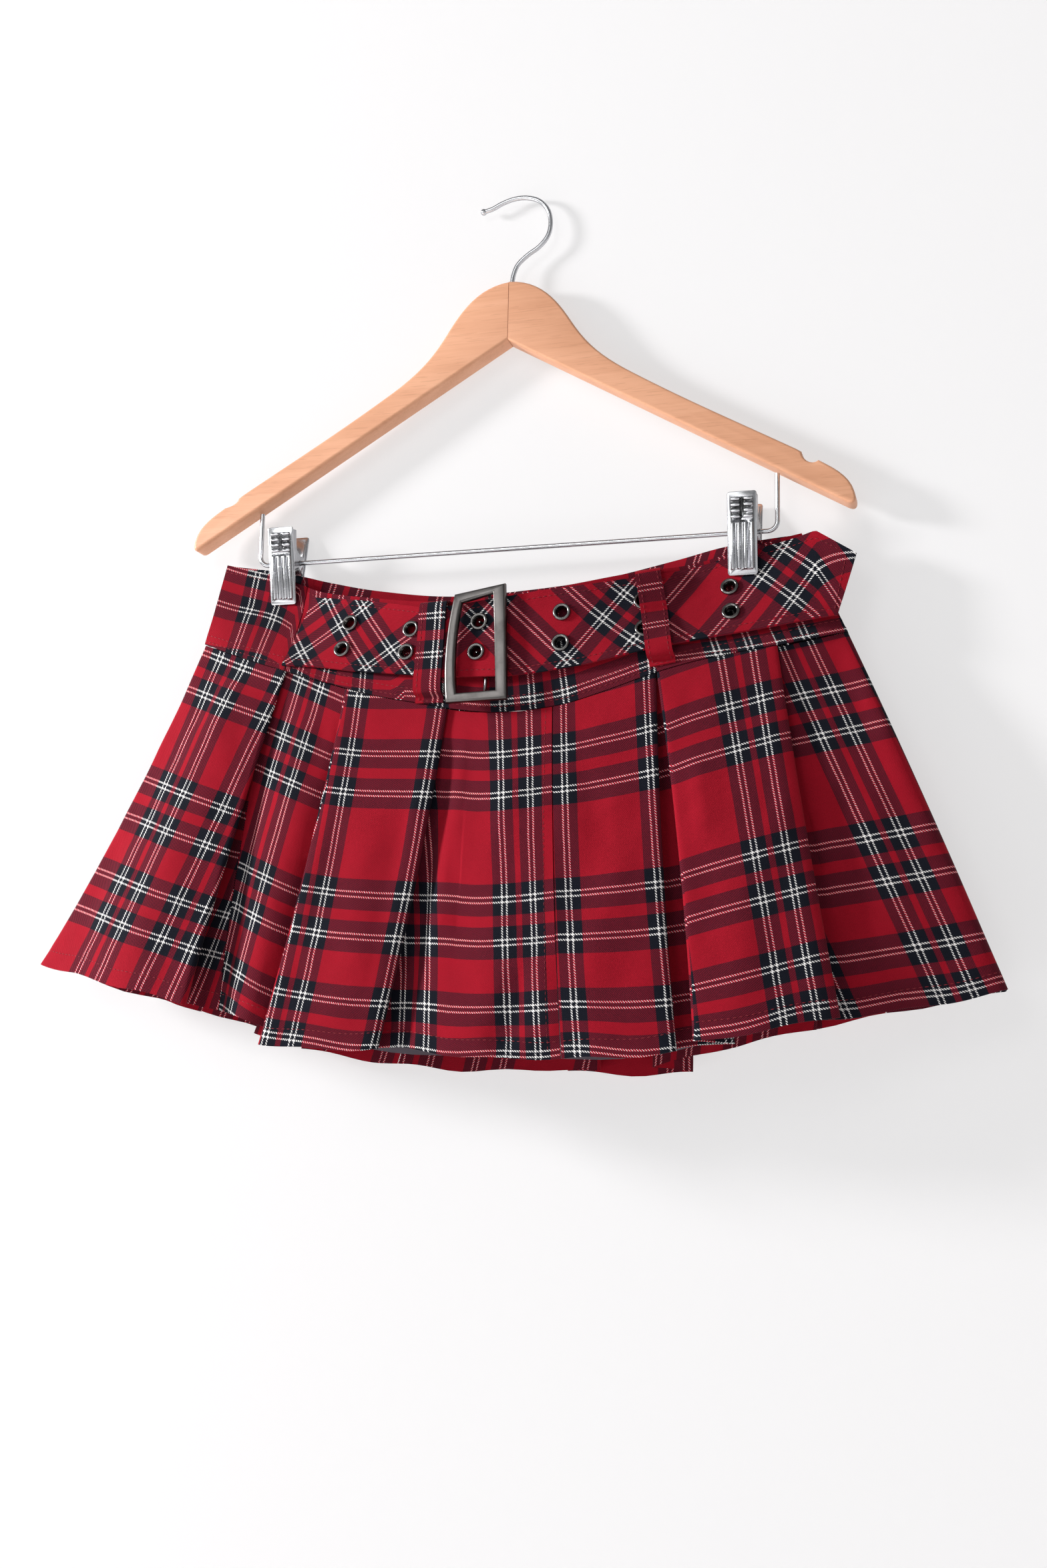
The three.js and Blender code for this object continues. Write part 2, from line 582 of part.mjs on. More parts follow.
// One leg: a strip from the centre-front seam round the side to the centre-back seam. Below
// the crotch its two ends meet at the inseam.
function shortsLeg(name, side) {
  const sheet = [];
  const shares = [0, 0.05, 0.16, 0.34, 0.55, 0.76, 0.92, 1];
  const stations = [
    ...shares.map((share) => [share, false]),
    ...shares.slice().reverse().map((share) => [share, true]),
  ];
  const order = side > 0 ? stations : stations.slice().reverse();
  order.forEach(([share, isBack]) => {
    const column = [];
    for (let row = 0; row <= shorts.rows; row += 1) {
      const v = row / shorts.rows;
      const parted = smooth((v - shorts.crotch + 0.16) / 0.16);
      const edge = side > 0
        ? lerp(shorts.top.right, shorts.hem.right, v)
        : lerp(shorts.top.left, shorts.hem.left, v);
      const inner = shorts.middle + side * (gap + parted * lerp(1, shorts.inseam, v));
      const x = lerp(inner, edge, share);
      const left = lerp(seamEdge.left, folds[0].xHem, v);
      const right = lerp(seamEdge.right, folds.at(-1).xHem, v);
      const t = (x - left) / (right - left);
      const back = lerp(shorts.top.back, shorts.hem.back, v);
      const front = lerp(shorts.top.front, shorts.hem.front, v);
      const faceFront = baseY(t, v, false) + front;
      const faceBack = Math.max(baseY(t, v, true) - back, faceFront + 2.6);
      const centre = (faceFront + faceBack) / 2;
      const half = (faceBack - faceFront) / 2;
      const inseam = 1 - parted * (1 - smooth(share / shares[2]));
      const sideEdge = 1 - shorts.sideTaper * smooth((share - shares[5]) / (1 - shares[5]));
      const held = Math.max(half * inseam * sideEdge, clothThick / 2 + gap + 0.15);
      const drop = lerp(shorts.hem.z, shorts.hem.sideZ, smooth((share - 0.2) / 0.8));
      const top = Math.min(seamZ(x, false), seamZ(x, true)) - 2;
      column.push(vec(x, centre + (isBack ? held : -held), lerp(top, drop, v)));
    }
    sheet.push(column);
  });
  return wall(sheet, clothThick, 'mauve', name);
}

// ---------------------------------------------------------------- hanger

// Half of the wooden hanger in the XZ plane: a crowned head, a sloping arm and a rounded end.
function hangerArm(name, side, notch) {
  const low = (x) => wood.apex - wood.slope * x;
  const outline = new THREE.Shape();
  outline.moveTo(gap / 2, low(gap / 2));
  outline.lineTo(wood.length - 7, low(wood.length - 7));
  outline.bezierCurveTo(wood.length - 1, low(wood.length), wood.length + 1, -223, 218, -216.5);
  outline.bezierCurveTo(216, -209, 210, -203.5, 201, -198);
  outline.lineTo(197, -195.5);
  outline.bezierCurveTo(195, -194 - notch, 188, -193 - notch, 187, -189.5);
  outline.lineTo(184, -187.5);
  outline.bezierCurveTo(150, -168, 120, -152, 84, -129.5);
  outline.bezierCurveTo(62, -116, 52, -106, 42, -90);
  outline.bezierCurveTo(32, -74, 21, -60, gap / 2, wood.rise);
  outline.closePath();
  const geometry = new THREE.ExtrudeGeometry(outline, {
    depth: wood.thick - 2 * wood.bevel,
    curveSegments: 7,
    bevelThickness: wood.bevel,
    bevelSize: wood.bevel,
    bevelOffset: -wood.bevel,
    bevelSegments: 1,
  });
  geometry.translate(0, 0, wood.bevel - wood.thick / 2);
  geometry.rotateX(Math.PI / 2);
  if (side < 0) geometry.rotateZ(Math.PI);
  return named(geometry, 'wood', name);
}

function hook() {
  const points = table(['x', 'z'], [
    [0, wood.rise + gap], [0.8, -52], [3.5, -45], [10, -39], [18.5, -33.5], [24, -26.5],
    [25.5, -18], [23.5, -9], [17.5, -2], [9, 1.3], [0, wire.radius], [-8, -0.6], [-14.5, -3.4],
    [-20, -4.6],
  ]).map(({ x, z }) => vec(x, 0, z));
  const bead = placed(new THREE.SphereGeometry(2.1, 8, 6), -20.5, 0, -4.7);
  const shape = solid(tube(points, wire.radius, 28)).add(solid(bead));
  return named(geometryOf(shape), 'steel', 'hanger_hook');
}

function riser(name, side) {
  const top = wood.apex - wood.slope * bar.riserX - gap - 1.2;
  const points = [
    vec(side * bar.riserX, 0, top),
    vec(side * bar.riserX, 0, bar.z + bar.bend + 12),
    vec(side * bar.riserX, 0, bar.z + bar.bend),
    vec(side * (bar.riserX - bar.bend * 0.3), 0, bar.z + bar.bend * 0.3),
    vec(side * (bar.riserX - bar.bend), 0, bar.z),
    vec(side * (clip.x + clip.width / 2 + 1), 0, bar.z),
  ];
  return named(tube(points, wire.radius, 12), 'steel', name);
}

function clipBar() {
  const reach = clip.x + clip.width / 2 + 1 - gap;
  const rod = new THREE.CylinderGeometry(wire.radius, wire.radius, 2 * reach, 10);
  rod.rotateZ(Math.PI / 2);
  return named(placed(rod, 0, 0, bar.z), 'steel', 'hanger_clip_bar');
}

// A pressed jaw: a leaning plate with raised ribs and two lugs that the bar passes through.
function clipJaw(name, x, side, hold) {
  const height = clip.top - clip.bottom;
  const lean = Math.atan2(clip.spread - hold, height);
  const plate = new THREE.BoxGeometry(clip.width, clip.plate, height);
  let jaw = solid(plate);
  const rib = (cx, cz, length, turned) => {
    const stick = new THREE.CylinderGeometry(clipRib.radius, clipRib.radius, length, 6);
    if (turned) stick.rotateZ(Math.PI / 2);
    else stick.rotateX(Math.PI / 2);
    return solid(placed(stick, cx, (side * clip.plate) / 2, cz));
  };
  for (let row = 0; row < clipRib.rows; row += 1) {
    for (const column of [-1, 1]) {
      const level = height / 2 - 4.5 - row * clipRib.pitch;
      jaw = jaw.add(rib(column * 3.9, level, clipRib.short, true));
    }
  }
  for (let column = 0; column < clipRib.columns; column += 1) {
    const across = (column - (clipRib.columns - 1) / 2) * clipRib.apart;
    jaw = jaw.add(rib(across, clipRib.long / 2 + 3.5 - height / 2, clipRib.long, false));
  }
  const lugX = clip.width / 2 - clip.lug / 2 - (side < 0 ? 0 : clip.lug + gap);
  const pivot = vec(0, 0, bar.z - (clip.top + clip.bottom) / 2);
  const depth = (clip.spread + hold) / 2 + 2.4;
  for (const column of [-1, 1]) {
    const cheek = new THREE.Shape();
    cheek.moveTo(pivot.z + 11, 0);
    cheek.lineTo(pivot.z - 6, 0);
    cheek.lineTo(pivot.z - 3, depth);
    cheek.lineTo(pivot.z + 3, depth);
    cheek.closePath();
    const lug = new THREE.ExtrudeGeometry(cheek, { depth: clip.lug, bevelEnabled: false });
    const upright = new THREE.Matrix4().makeBasis(vec(0, 0, 1), vec(0, -side, 0), vec(side, 0, 0));
    lug.translate(0, 0, -clip.lug / 2);
    lug.applyMatrix4(upright);
    jaw = jaw.add(solid(placed(lug, column * lugX, 0, 0)));
  }
  const geometry = geometryOf(jaw);
  geometry.rotateX(-side * lean);
  geometry.translate(x, (side * (clip.spread + hold)) / 2, (clip.top + clip.bottom) / 2);
  const drill = new THREE.CylinderGeometry(wire.radius + 0.4, wire.radius + 0.4, 40, 10);
  drill.rotateZ(Math.PI / 2);
  const bored = solid(geometry).subtract(solid(placed(drill, x, 0, bar.z)));
  return named(geometryOf(bored), 'steel', name);
}

function clipSpring(name, x) {
  const profile = [[1.9, -5.6], [4, -5.6], [4, 5.6], [1.9, 5.6], [1.9, -5.6]];
  const ring = new THREE.LatheGeometry(profile.map(([r, h]) => new THREE.Vector2(r, h)), 12);
  ring.rotateZ(Math.PI / 2);
  return named(placed(ring, x, 0, bar.z), 'gunmetal', name);
}

// ---------------------------------------------------------------- the whole part

const group = new THREE.Group();
group.add(
  hangerArm('hanger_arm_left', -1, 1),
  hangerArm('hanger_arm_right', 1, 4),
  hook(),
  riser('hanger_wire_left', -1),
  riser('hanger_wire_right', 1),
  clipBar(),
);
for (const [word, side] of [['left', -1], ['right', 1]]) {
  group.add(clipJaw(`clip_${word}_front`, side * clip.x, -1, pinch[word]));
  group.add(clipJaw(`clip_${word}_back`, side * clip.x, 1, pinch.left));
  group.add(clipSpring(`clip_${word}_spring`, side * clip.x));
}
group.add(
  yokePanel('front_yoke', [
    ...stepsAcross(sideSeamFront + seamStep, 1, false),
    ...stepsAcross(1, sideSeamBack + seamStep, true),
  ]),
  yokePanel('back_yoke', [
    ...stepsAcross(sideSeamBack - seamStep, 0, true),
    ...stepsAcross(0, sideSeamFront - seamStep, false),
  ]),
  skirtPanel('front_skirt_left', ['sideRecess', false], ['centreSeam', false]),
  skirtPanel('front_skirt_right', ['centreSeam', false], ['sideFace', true]),
  skirtPanel('back_skirt_right', ['sideFace', true], ['centreSeam', true]),
  skirtPanel('back_skirt_left', ['centreSeam', true], ['sideRecess', false]),
  shortsLeg('shorts_left', -1),
  shortsLeg('shorts_right', 1),
  belt(),
  beltTab(),
  buckleFrame(),
  buckleBar(),
  prong('buckle_prong_upper', eyelets[4]),
  prong('buckle_prong_lower', eyelets[5]),
);
loops.forEach((row) => group.add(beltLoop(row)));
eyelets.forEach((row) => group.add(eyeletRing(row)));

export default group;
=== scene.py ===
import math
import random

import bmesh
import bpy
from mathutils import Matrix, Vector, noise


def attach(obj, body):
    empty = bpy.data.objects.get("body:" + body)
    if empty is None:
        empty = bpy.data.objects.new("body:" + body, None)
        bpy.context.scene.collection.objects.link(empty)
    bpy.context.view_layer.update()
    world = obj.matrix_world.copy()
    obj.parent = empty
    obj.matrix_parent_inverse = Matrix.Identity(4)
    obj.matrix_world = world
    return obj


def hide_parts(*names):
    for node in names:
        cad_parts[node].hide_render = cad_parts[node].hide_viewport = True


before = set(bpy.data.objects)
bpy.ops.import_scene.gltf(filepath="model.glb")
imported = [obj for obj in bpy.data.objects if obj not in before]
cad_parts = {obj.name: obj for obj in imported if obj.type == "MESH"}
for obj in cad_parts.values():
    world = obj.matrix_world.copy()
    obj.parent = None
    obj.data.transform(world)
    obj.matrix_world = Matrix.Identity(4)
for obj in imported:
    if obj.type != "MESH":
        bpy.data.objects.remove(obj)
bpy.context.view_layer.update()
random.seed(7)

# Tables are in millimetres, in the frame of the part: the origin is the inside top of the hook,
# +X runs right along the hanger and +Y runs back to the wall. Meshes are in metres.
MM = 0.001


def rows_of(columns, *rows):
    """A table as a list of rows, each a dict of its columns."""
    return [dict(zip(columns.split(), row)) for row in rows]


# ------------------------------------------------------------------ the garment's measurements

# Thickness of the garment's cloth and of its doubled trims, and the gap between sewn parts.
CLOTH, TRIM, BELT_THICK = 1.0, 1.2, 1.6
SEAM_GAP = 0.3
# A skirt panel: its rows of points, how wide its columns are, how far it hangs below the yoke
# and the level of the hem's stitching, and the level at which its pleats set the columns.
PANEL_ROWS, PANEL_PITCH, PANEL_DROP = 46, 5.0, 215
HEM_STITCH = 10.0
PATTERN_LEVEL = 0.85
# The yoke seam and the hem: ends at the left and right, and depth at the sides and between them.
SEAM_EDGE = dict(left=-206, right=213, front=-7, back=-1)
HEM_EDGE = dict(front=-12, back=-2)
SEAM_DEPTH = dict(front=20, back=13)
HEM_DEPTH = dict(front=43, back=25)
# Step from one layer of a pleat to the next.
PLEAT_GAP = dict(top=1.6, hem=5, back_hem=3.6)
BACK_HEM = dict(drop=11, lift=8)
BACK_BULGE = 0.6
# How far the cloth curves at a plain corner and at a fold: a limit and a share of the side.
ROUNDING = dict(plain=26.0, plain_share=0.46, fold=3.2, fold_share=0.3)
# The stitched hem: how deep and wide its pucker is, and its wave along the edge.
HEM = dict(pucker=-0.28, width=1.6, wave=0.9, step=0.11)
# Where the clips hold the yoke, as a share of its height from the waist.
CLAMP_LEVEL = 0.4

# Folds of the pleated part from its left edge to its right edge, at the seam, half way and hem.
FOLDS = rows_of(
    "name x_top x_mid x_hem z_hem bulge_mid bulge_hem layer_in layer_out",
    ("left_edge", -206, -254, -314, -501, 0, 0, 0, 0),
    ("side_face", -172, -208, -247, -513, 3, 5, 0, 0),
    ("side_fold", -141, -167, -186, -525, 0, 5, 0, 1),
    ("side_under", -158, -188, -207, -521, 0, 3, 1, 2),
    ("side_recess", -149, -165, -172, -529, -3, -8, 2, 2),
    ("roll_crest", -118, -134, -150, -534, 4, 5, 2, 2),
    ("left_box_under_a", -80, -90, -110, -545, 0, 1, 2, 1),
    ("left_box_fold_a", -96.5, -112, -133, -548, 1, 2, 1, 0),
    ("left_box_face", -62, -76, -95, -551, 3, 4, 0, 0),
    ("left_box_fold_b", -28, -39.5, -56, -549.5, 0, 1, 0, 1),
    ("left_box_under_b", -46, -58, -77, -549, 0, 0, 1, 2),
    ("centre_rise", -26, -27, -36, -549, 3, 4, 2, 2),
    ("centre_face_a", 6, 4, 4, -553.5, 0, 0, 0, 0),
    ("centre_seam", 40, 47, 56, -552, 2, -1, 0, 0),
    ("centre_face_b", 74, 80, 88, -551, 1, 2, 0, 0),
    ("right_box_fold_a", 102.2, 109.5, 121, -547, 0, 1, 0, 1),
    ("right_under_a", 84, 92, 103, -548, 0, 0, 1, 2),
    ("right_under_b", 121, 136, 152, -541, 0, 0, 2, 1),
    ("right_box_fold_b", 103.4, 119.5, 131, -541.5, 0, 2, 1, 0),
    ("right_box_face", 139, 154, 171, -534, 3, 5, 0, 0),
    ("right_box_fold_c", 173, 190, 210, -525.5, 0, 3, 0, 1),
    ("right_under_c", 156, 171, 190, -529, 0, 0, 1, 2),
    ("right_face", 185, 211, 243, -522, 2, 1, 2, 2),
    ("right_edge", 213, 257, 298, -510, 0, 0, 0, 0),
)

# Heights of the yoke seam, and the yoke's depth and height at the waist and where the clips hold.
SEAM_LINE = rows_of(
    "x z",
    (-206, -289), (-172, -302), (-142, -312), (-110, -322), (-77, -332), (-48, -338), (-17, -344),
    (10, -346), (44, -343), (70, -336), (103, -325), (130, -318), (157, -313), (185, -308),
    (213, -302),
)
FRONT_WAIST = rows_of(
    "x y z",
    (-195, -1.2, -234), (-172, -1.2, -240), (-154, -1.2, -245.5), (-139, -1.3, -251.5),
    (-124, -3.6, -257.5), (-90, -11, -265), (-45, -16, -271.5), (-10, -18.5, -271.5),
    (40, -18, -267.5), (85, -12, -260), (118, -3.4, -255), (134, -1.3, -251), (150, -1.2, -247),
    (170, -1.2, -242), (186, -1.2, -239),
)
FRONT_CLAMP = rows_of(
    "x y z",
    (-200, -3, -258), (-172, -1.6, -264), (-154, -1.6, -267), (-139, -1.7, -270),
    (-124, -5.5, -279), (-90, -14, -290), (-45, -19.5, -298), (-10, -22, -300), (40, -22, -297),
    (85, -16, -288), (118, -6, -284), (134, -2, -283), (150, -1.8, -281), (170, -1.8, -273),
    (196, -3, -266),
)
BACK_WAIST = rows_of(
    "x y z",
    (-195, 1.2, -234), (-165, 1.2, -239), (-154, 1.2, -241.5), (-139, 1.3, -245), (-124, 2.6, -249),
    (-90, 6, -256), (-40, 9, -262), (10, 9, -261), (60, 8, -257), (110, 4, -249), (134, 1.3, -244.5),
    (150, 1.2, -242), (170, 1.2, -240), (186, 1.2, -239),
)
BACK_CLAMP = rows_of(
    "x y z",
    (-200, 1.5, -258), (-165, 1.6, -265), (-154, 1.6, -267), (-139, 1.7, -270), (-124, 3.4, -275),
    (-90, 7, -285), (-40, 10, -292), (10, 10, -292), (60, 9, -287), (110, 5.4, -277),
    (134, 1.7, -270), (150, 1.6, -267), (170, 1.6, -265), (196, 1.5, -264),
)

# The cloth's own grain at corners of the pleats: u across the threads and w down them, at the
# yoke seam and at the hem. A new cut starts at each row marked so, hidden in a fold or a seam.
GRAIN = rows_of(
    "name back cut u_top u_hem w_top w_hem",
    ("side_recess", 0, 1, 25.5, 52, -39, 183),
    ("left_box_under_a", 0, 0, 110.6, 128.8, -49, 170),
    ("left_box_fold_a", 0, 1, 59.3, 45.7, -41.5, 187.5),
    ("left_box_fold_b", 0, 0, 127.1, 124, -29.6, 181.2),
    ("left_box_under_b", 0, 1, 71.5, 15.6, -28.3, 178.1),
    ("centre_seam", 0, 0, 155.8, 155, -26.2, 184.2),
    ("centre_seam", 0, 1, 61.1, 58.5, -27.5, 185.9),
    ("right_box_fold_a", 0, 0, 128, 123.2, -32.2, 180.9),
    ("right_under_a", 0, 1, 90, 88, -33, 182),
    ("right_box_fold_b", 0, 1, 85.5, 72.1, -34.7, 184.5),
    ("right_box_fold_c", 0, 0, 155.1, 153.4, -29.5, 188),
    ("right_under_c", 0, 1, 101.4, 44.1, -33.1, 187.4),
    ("right_edge", 0, 0, 166, 158.9, -32, 186.5),
    ("side_face", 1, 1, 210, 200, -9, 209),
    ("side_under", 1, 2, 0, 0, 0, 0),
    ("roll_crest", 1, 0, 36, 30, -10, 207),
    ("left_box_under_a", 1, 2, 0, 0, 0, 0),
    ("left_box_face", 1, 0, 96, 92, -8, 209),
    ("left_box_under_b", 1, 2, 0, 0, 0, 0),
    ("centre_face_a", 1, 0, 20, 18, -11, 206),
    ("centre_seam", 1, 1, 60, 57, -10, 209),
    ("right_under_a", 1, 1, 90, 88, -10, 205),
    ("right_box_fold_b", 1, 1, 30, 16, -10, 207),
    ("right_box_face", 1, 0, 66, 60, -9, 209),
    ("right_under_c", 1, 2, 0, 0, 0, 0),
    ("left_edge", 0, 0, -14.5, -35, -4.8, 221.4),
    ("side_fold", 0, 0, 46.9, 76.9, -6.9, 213.9),
)

# The panels, each from one corner of the pleats round to another.
PANELS = rows_of(
    "name first first_back last last_back",
    ("front_skirt_left", "side_recess", 0, "centre_seam", 0),
    ("front_skirt_right", "centre_seam", 0, "side_face", 1),
    ("back_skirt_right", "side_face", 1, "centre_seam", 1),
    ("back_skirt_left", "centre_seam", 1, "side_recess", 0),
)

# Soft creases of the cloth: a ridge or, below zero, a trough along a line, front or back. Under
# the folds, on layer 2, the cloth dives deeper behind them.
CREASES = rows_of(
    "back layer x_a z_a x_b z_b width rise",
    (0, 2, -160, -375, -180, -545, 9, -8),
    (0, 2, -101, -385, -135, -545, 8, -7),
    (0, 2, -27, -395, -49, -545, 7, -7),
    (0, 2, 107, -375, 128, -545, 8, -6),
    (0, 2, 182, -365, 219, -525, 8, -6),
    (0, 0, -139, -330, -180, -510, 8, 3.2),
    (0, 0, -190, -350, -236, -520, 26, 5.5),
    (0, 0, 225, -350, 262, -515, 22, 3.5),
    (0, 0, -103, -385, -127, -530, 9, 2.4),
    (0, 0, -34, -385, -52, -530, 9, 2.4),
    (0, 0, 180, -360, 203, -510, 10, 2.0),
    (0, 0, 30, -505, 22, -545, 5, -3.4),
    (0, 0, 38, -500, 46, -540, 6, 2.4),
    (0, 2, -20, -372, -27, -470, 9, 1.8),
    (0, 2, -5, -380, -8, -450, 8, -1.6),
    (0, 2, -122, -350, -132, -400, 5, 1.6),
    (0, 2, -112, -345, -118, -380, 5, -1.6),
    (0, 2, 188, -382, 229, -487, 3.5, 2.2),
    (0, 2, 196, -380, 238, -487, 6, -1.6),
    (0, 0, 128, -380, 134, -420, 5, 1.2),
    (0, 0, -76, -430, -70, -500, 10, 1.4),
    (0, 0, -190, -315, -205, -345, 5, -2.0),
    (0, 0, -175, -318, -185, -352, 5, 1.8),
    (0, 0, 20, -395, 5, -440, 9, 1.4),
    (0, 0, 84, -440, 70, -500, 9, 1.4),
    (0, 0, 62, -385, 74, -430, 6, -1.3),
    (0, 0, 150, -440, 160, -520, 9, 1.5),
    (0, 0, -240, -420, -262, -470, 8, 1.5),
    (1, 0, -60, -380, -66, -470, 8, 1.6),
    (1, 0, 70, -370, 90, -450, 7, 1.6),
    (1, 0, 10, -420, -4, -520, 9, -1.6),
    (1, 0, -150, -380, -180, -450, 7, 1.5),
    (1, 0, 160, -400, 190, -480, 7, 1.6),
    (1, 2, -104, -385, -130, -545, 8, -6),
    (1, 2, 101, -385, 135, -545, 8, -6),
    (1, 2, -182, -365, -219, -525, 8, -5),
)

# Broad to fine ripples of the skirt's cloth.
RIPPLES = rows_of(
    "rise across down shift", (1.5, 0.021, 0.014, 0), (0.9, 0.05, 0.03, 9), (0.35, 0.11, 0.08, 19)
)

# The belt, whose cloth is cut on the bias: its edges and how far they stand off the yoke.
BELT_GRAIN = dict(width=49.0, u=39.8, w=80.4)
BELT_BEND = 1.3
BELT_ROWS = rows_of(
    "x_top z_top x_low z_low stand_top stand_low",
    (-130, -261, -143, -309, 2.2, 2.2),
    (-108, -265, -118, -311.5, 3.4, 3.6),
    (-85, -269, -92, -316, 4, 4.2),
    (-45, -277, -50, -321, 5.2, 5.2),
    (-25, -277.5, -28, -324, 6.9, 6.7),
    (14, -273.5, 13, -325, 6.9, 6.7),
    (34, -270.5, 34, -323, 5.2, 5.4),
    (60, -268, 62, -319, 4.6, 5),
    (90, -264, 95, -311.5, 3.8, 4.4),
    (118, -258.5, 124, -306, 2.6, 4.4),
    (134, -254, 139, -303.5, 1.9, 4.8),
    (162, -247, 167, -299.5, 1.8, 5),
    (182, -243, 185, -296.5, 3, 5),
    (195, -239, 197, -294.5, 4, 5),
    (219, -255, 208, -293, 5, 5),
)
# Pairs of eyelets: where each stands along the belt, and two places down its width.
EYELET_PAIRS = rows_of(
    "along upper lower",
    (-95, 0.34, 0.72), (-52, 0.34, 0.68), (-7, 0.28, 0.68), (44, 0.31, 0.69), (91, 0.34, 0.72),
    (142, 0.39, 0.72),
)
EYELET = dict(outer=5.5, hole=3.0, barrel=3.6, flange=0.9, roll=0.98, cut=4.1, clear=0.6)
LOOPS = rows_of(
    "name top_left top_right top_z low_left low_right low_z rise u w",
    ("belt_loop_left", -48, -30, -272.8, -48, -30, -339, 0, -13, -16),
    ("belt_loop_right", 88, 102.5, -260.2, 99, 114.5, -322, 2.8, 84, -18),
)
BUCKLE = dict(back=9.6, thick=3.4, top=-272, low=-338, bar_x=-3, bar_radius=1.2, bar_stand=2.3)

WOOD = dict(thick=14, rise=-58.5, apex=-98, slope=0.585, length=219)
WIRE = dict(radius=1.5, bar_z=-235.6, riser_x=171.7, bend=6)
CLIP = dict(x=152, width=18, top=-213.5, bottom=-264.5, plate=1.2, spread=13, hold_left=3,
            hold_right=7.9)
CLIP_RIB = dict(radius=1.1, rows=4, pitch=3.6, short=5.8, beside=3.9, columns=4, apart=3.9, long=29)
CLIP_LUG = dict(inset=0.5, step=1.3, deep=2.4, flange=4.2, hole=1.9)
# Stitches: how long they are and stand apart, and the radius of their threads.
STITCH = dict(long=2.6, gap=0.9, uneven=0.12)
THREAD, FINE_THREAD = 0.24, 0.18


# ------------------------------------------------------------------ small maths


def lerp(a, b, t):
    return a + (b - a) * t


def clamp(t):
    return min(1.0, max(0.0, t))


def smooth(t):
    t = clamp(t)
    return t * t * (3 - 2 * t)


def through(top, mid, low, v):
    """A smooth change through values at the seam, half way and at the hem."""
    return top * (1 - v) * (1 - 2 * v) + 4 * mid * v * (1 - v) + low * v * (2 * v - 1)


def along(rows, x, column):
    """A column of a table at x, on a smooth curve through its rows."""
    k = 0
    while k < len(rows) - 2 and x > rows[k + 1]["x"]:
        k += 1

    def slope(i):
        before, after = rows[max(0, i - 1)], rows[min(len(rows) - 1, i + 1)]
        return (after[column] - before[column]) / (after["x"] - before["x"])

    span = rows[k + 1]["x"] - rows[k]["x"]
    t = clamp((x - rows[k]["x"]) / span)
    a, b = rows[k][column], rows[k + 1][column]
    rise, fall = span * slope(k), span * slope(k + 1)
    return (
        a * (1 + 2 * t) * (1 - t) ** 2
        + rise * t * (1 - t) ** 2
        + b * t * t * (3 - 2 * t)
        - fall * t * t * (1 - t)
    )


def fullness(t):
    """How full the garment is at t across it: 0 at its sides and 1 in the middle."""
    return (1 - abs(2 * clamp(t) - 1) ** 2.4) ** 0.8


def walk(points):
    """The distance from a line's first point to each of its points."""
    run = [0.0]
    for a, b in zip(points, points[1:]):
        run.append(run[-1] + (b - a).length)
    return run


# ------------------------------------------------------------------ finishes


class Thread:
    """A socket of a finish's nodes that can be added, multiplied and compared."""

    def __init__(self, finish, socket):
        self.finish = finish
        self.socket = socket

    def sum(self, kind, *others):
        values = dict(enumerate((self, *others)))
        return self.finish.node("ShaderNodeMath", {"operation": kind}, values)

    def __add__(self, other):
        return self.sum("ADD", other)

    __radd__ = __add__

    def __sub__(self, other):
        return self.sum("SUBTRACT", other)

    def __rsub__(self, other):
        return self.sum("MULTIPLY", -1.0).sum("ADD", other)

    def __mul__(self, other):
        return self.sum("MULTIPLY", other)

    __rmul__ = __mul__

    def __truediv__(self, other):
        return self.sum("DIVIDE", other)

    def __mod__(self, other):
        return self.sum("FLOORED_MODULO", other)

    def __abs__(self):
        return self.sum("ABSOLUTE")

    def __lt__(self, other):
        return self.sum("LESS_THAN", other)

    def __gt__(self, other):
        return self.sum("GREATER_THAN", other)

    def either(self, other):
        return self.sum("MAXIMUM", other)


class Finish:
    """A material and the calls that add nodes to it."""

    def __init__(self, name):
        self.material = bpy.data.materials.new(name)
        self.material.use_nodes = True
        self.tree = self.material.node_tree
        self.shader = self.tree.nodes["Principled BSDF"]

    def node(self, kind, settings=None, inputs=None, output=0):
        made = self.tree.nodes.new(kind)
        for key, value in (settings or {}).items():
            if key == "stops":
                ramp = made.color_ramp
                while len(ramp.elements) < len(value):
                    ramp.elements.new(0.5)
                for element, (place, colour) in zip(ramp.elements, value):
                    element.position = place
                    element.color = (*colour, 1)
            else:
                setattr(made, key, value)
        for key, value in (inputs or {}).items():
            self.join(made.inputs[key], value)
        return Thread(self, made.outputs[output])

    def join(self, socket, value):
        if isinstance(value, Thread):
            self.tree.links.new(value.socket, socket)
        elif isinstance(value, tuple) and socket.type == "RGBA":
            socket.default_value = (*value, 1)
        else:
            socket.default_value = value

    def set(self, **values):
        for key, value in values.items():
            self.join(self.shader.inputs[key.replace("_", " ")], value)
        return self

    def mix(self, share, first, second):
        return self.node(
            "ShaderNodeMix", {"data_type": "RGBA"}, {0: share, 6: first, 7: second}, output=2
        )

    def place(self, attribute=None):
        if attribute:
            return self.node("ShaderNodeUVMap", {"uv_map": attribute})
        return self.node("ShaderNodeTexCoord", output=3)

    def stretch(self, vector, scale, turn=(0, 0, 0)):
        return self.node(
            "ShaderNodeMapping", {}, {"Vector": vector, "Scale": scale, "Rotation": turn}
        )

    def clouds(self, vector, scale, detail=3.0, rough=0.5, turn=(0, 0, 0)):
        """Soft noise, with one scale or with a scale for each way of the vector."""
        if isinstance(scale, tuple):
            vector, scale = self.stretch(vector, scale, turn), 1.0
        return self.node(
            "ShaderNodeTexNoise",
            {},
            {"Vector": vector, "Scale": scale, "Detail": detail, "Roughness": rough},
        )

    def bump(self, height, distance, strength=1.0):
        return self.node(
            "ShaderNodeBump", {}, {"Height": height, "Distance": distance, "Strength": strength}
        )


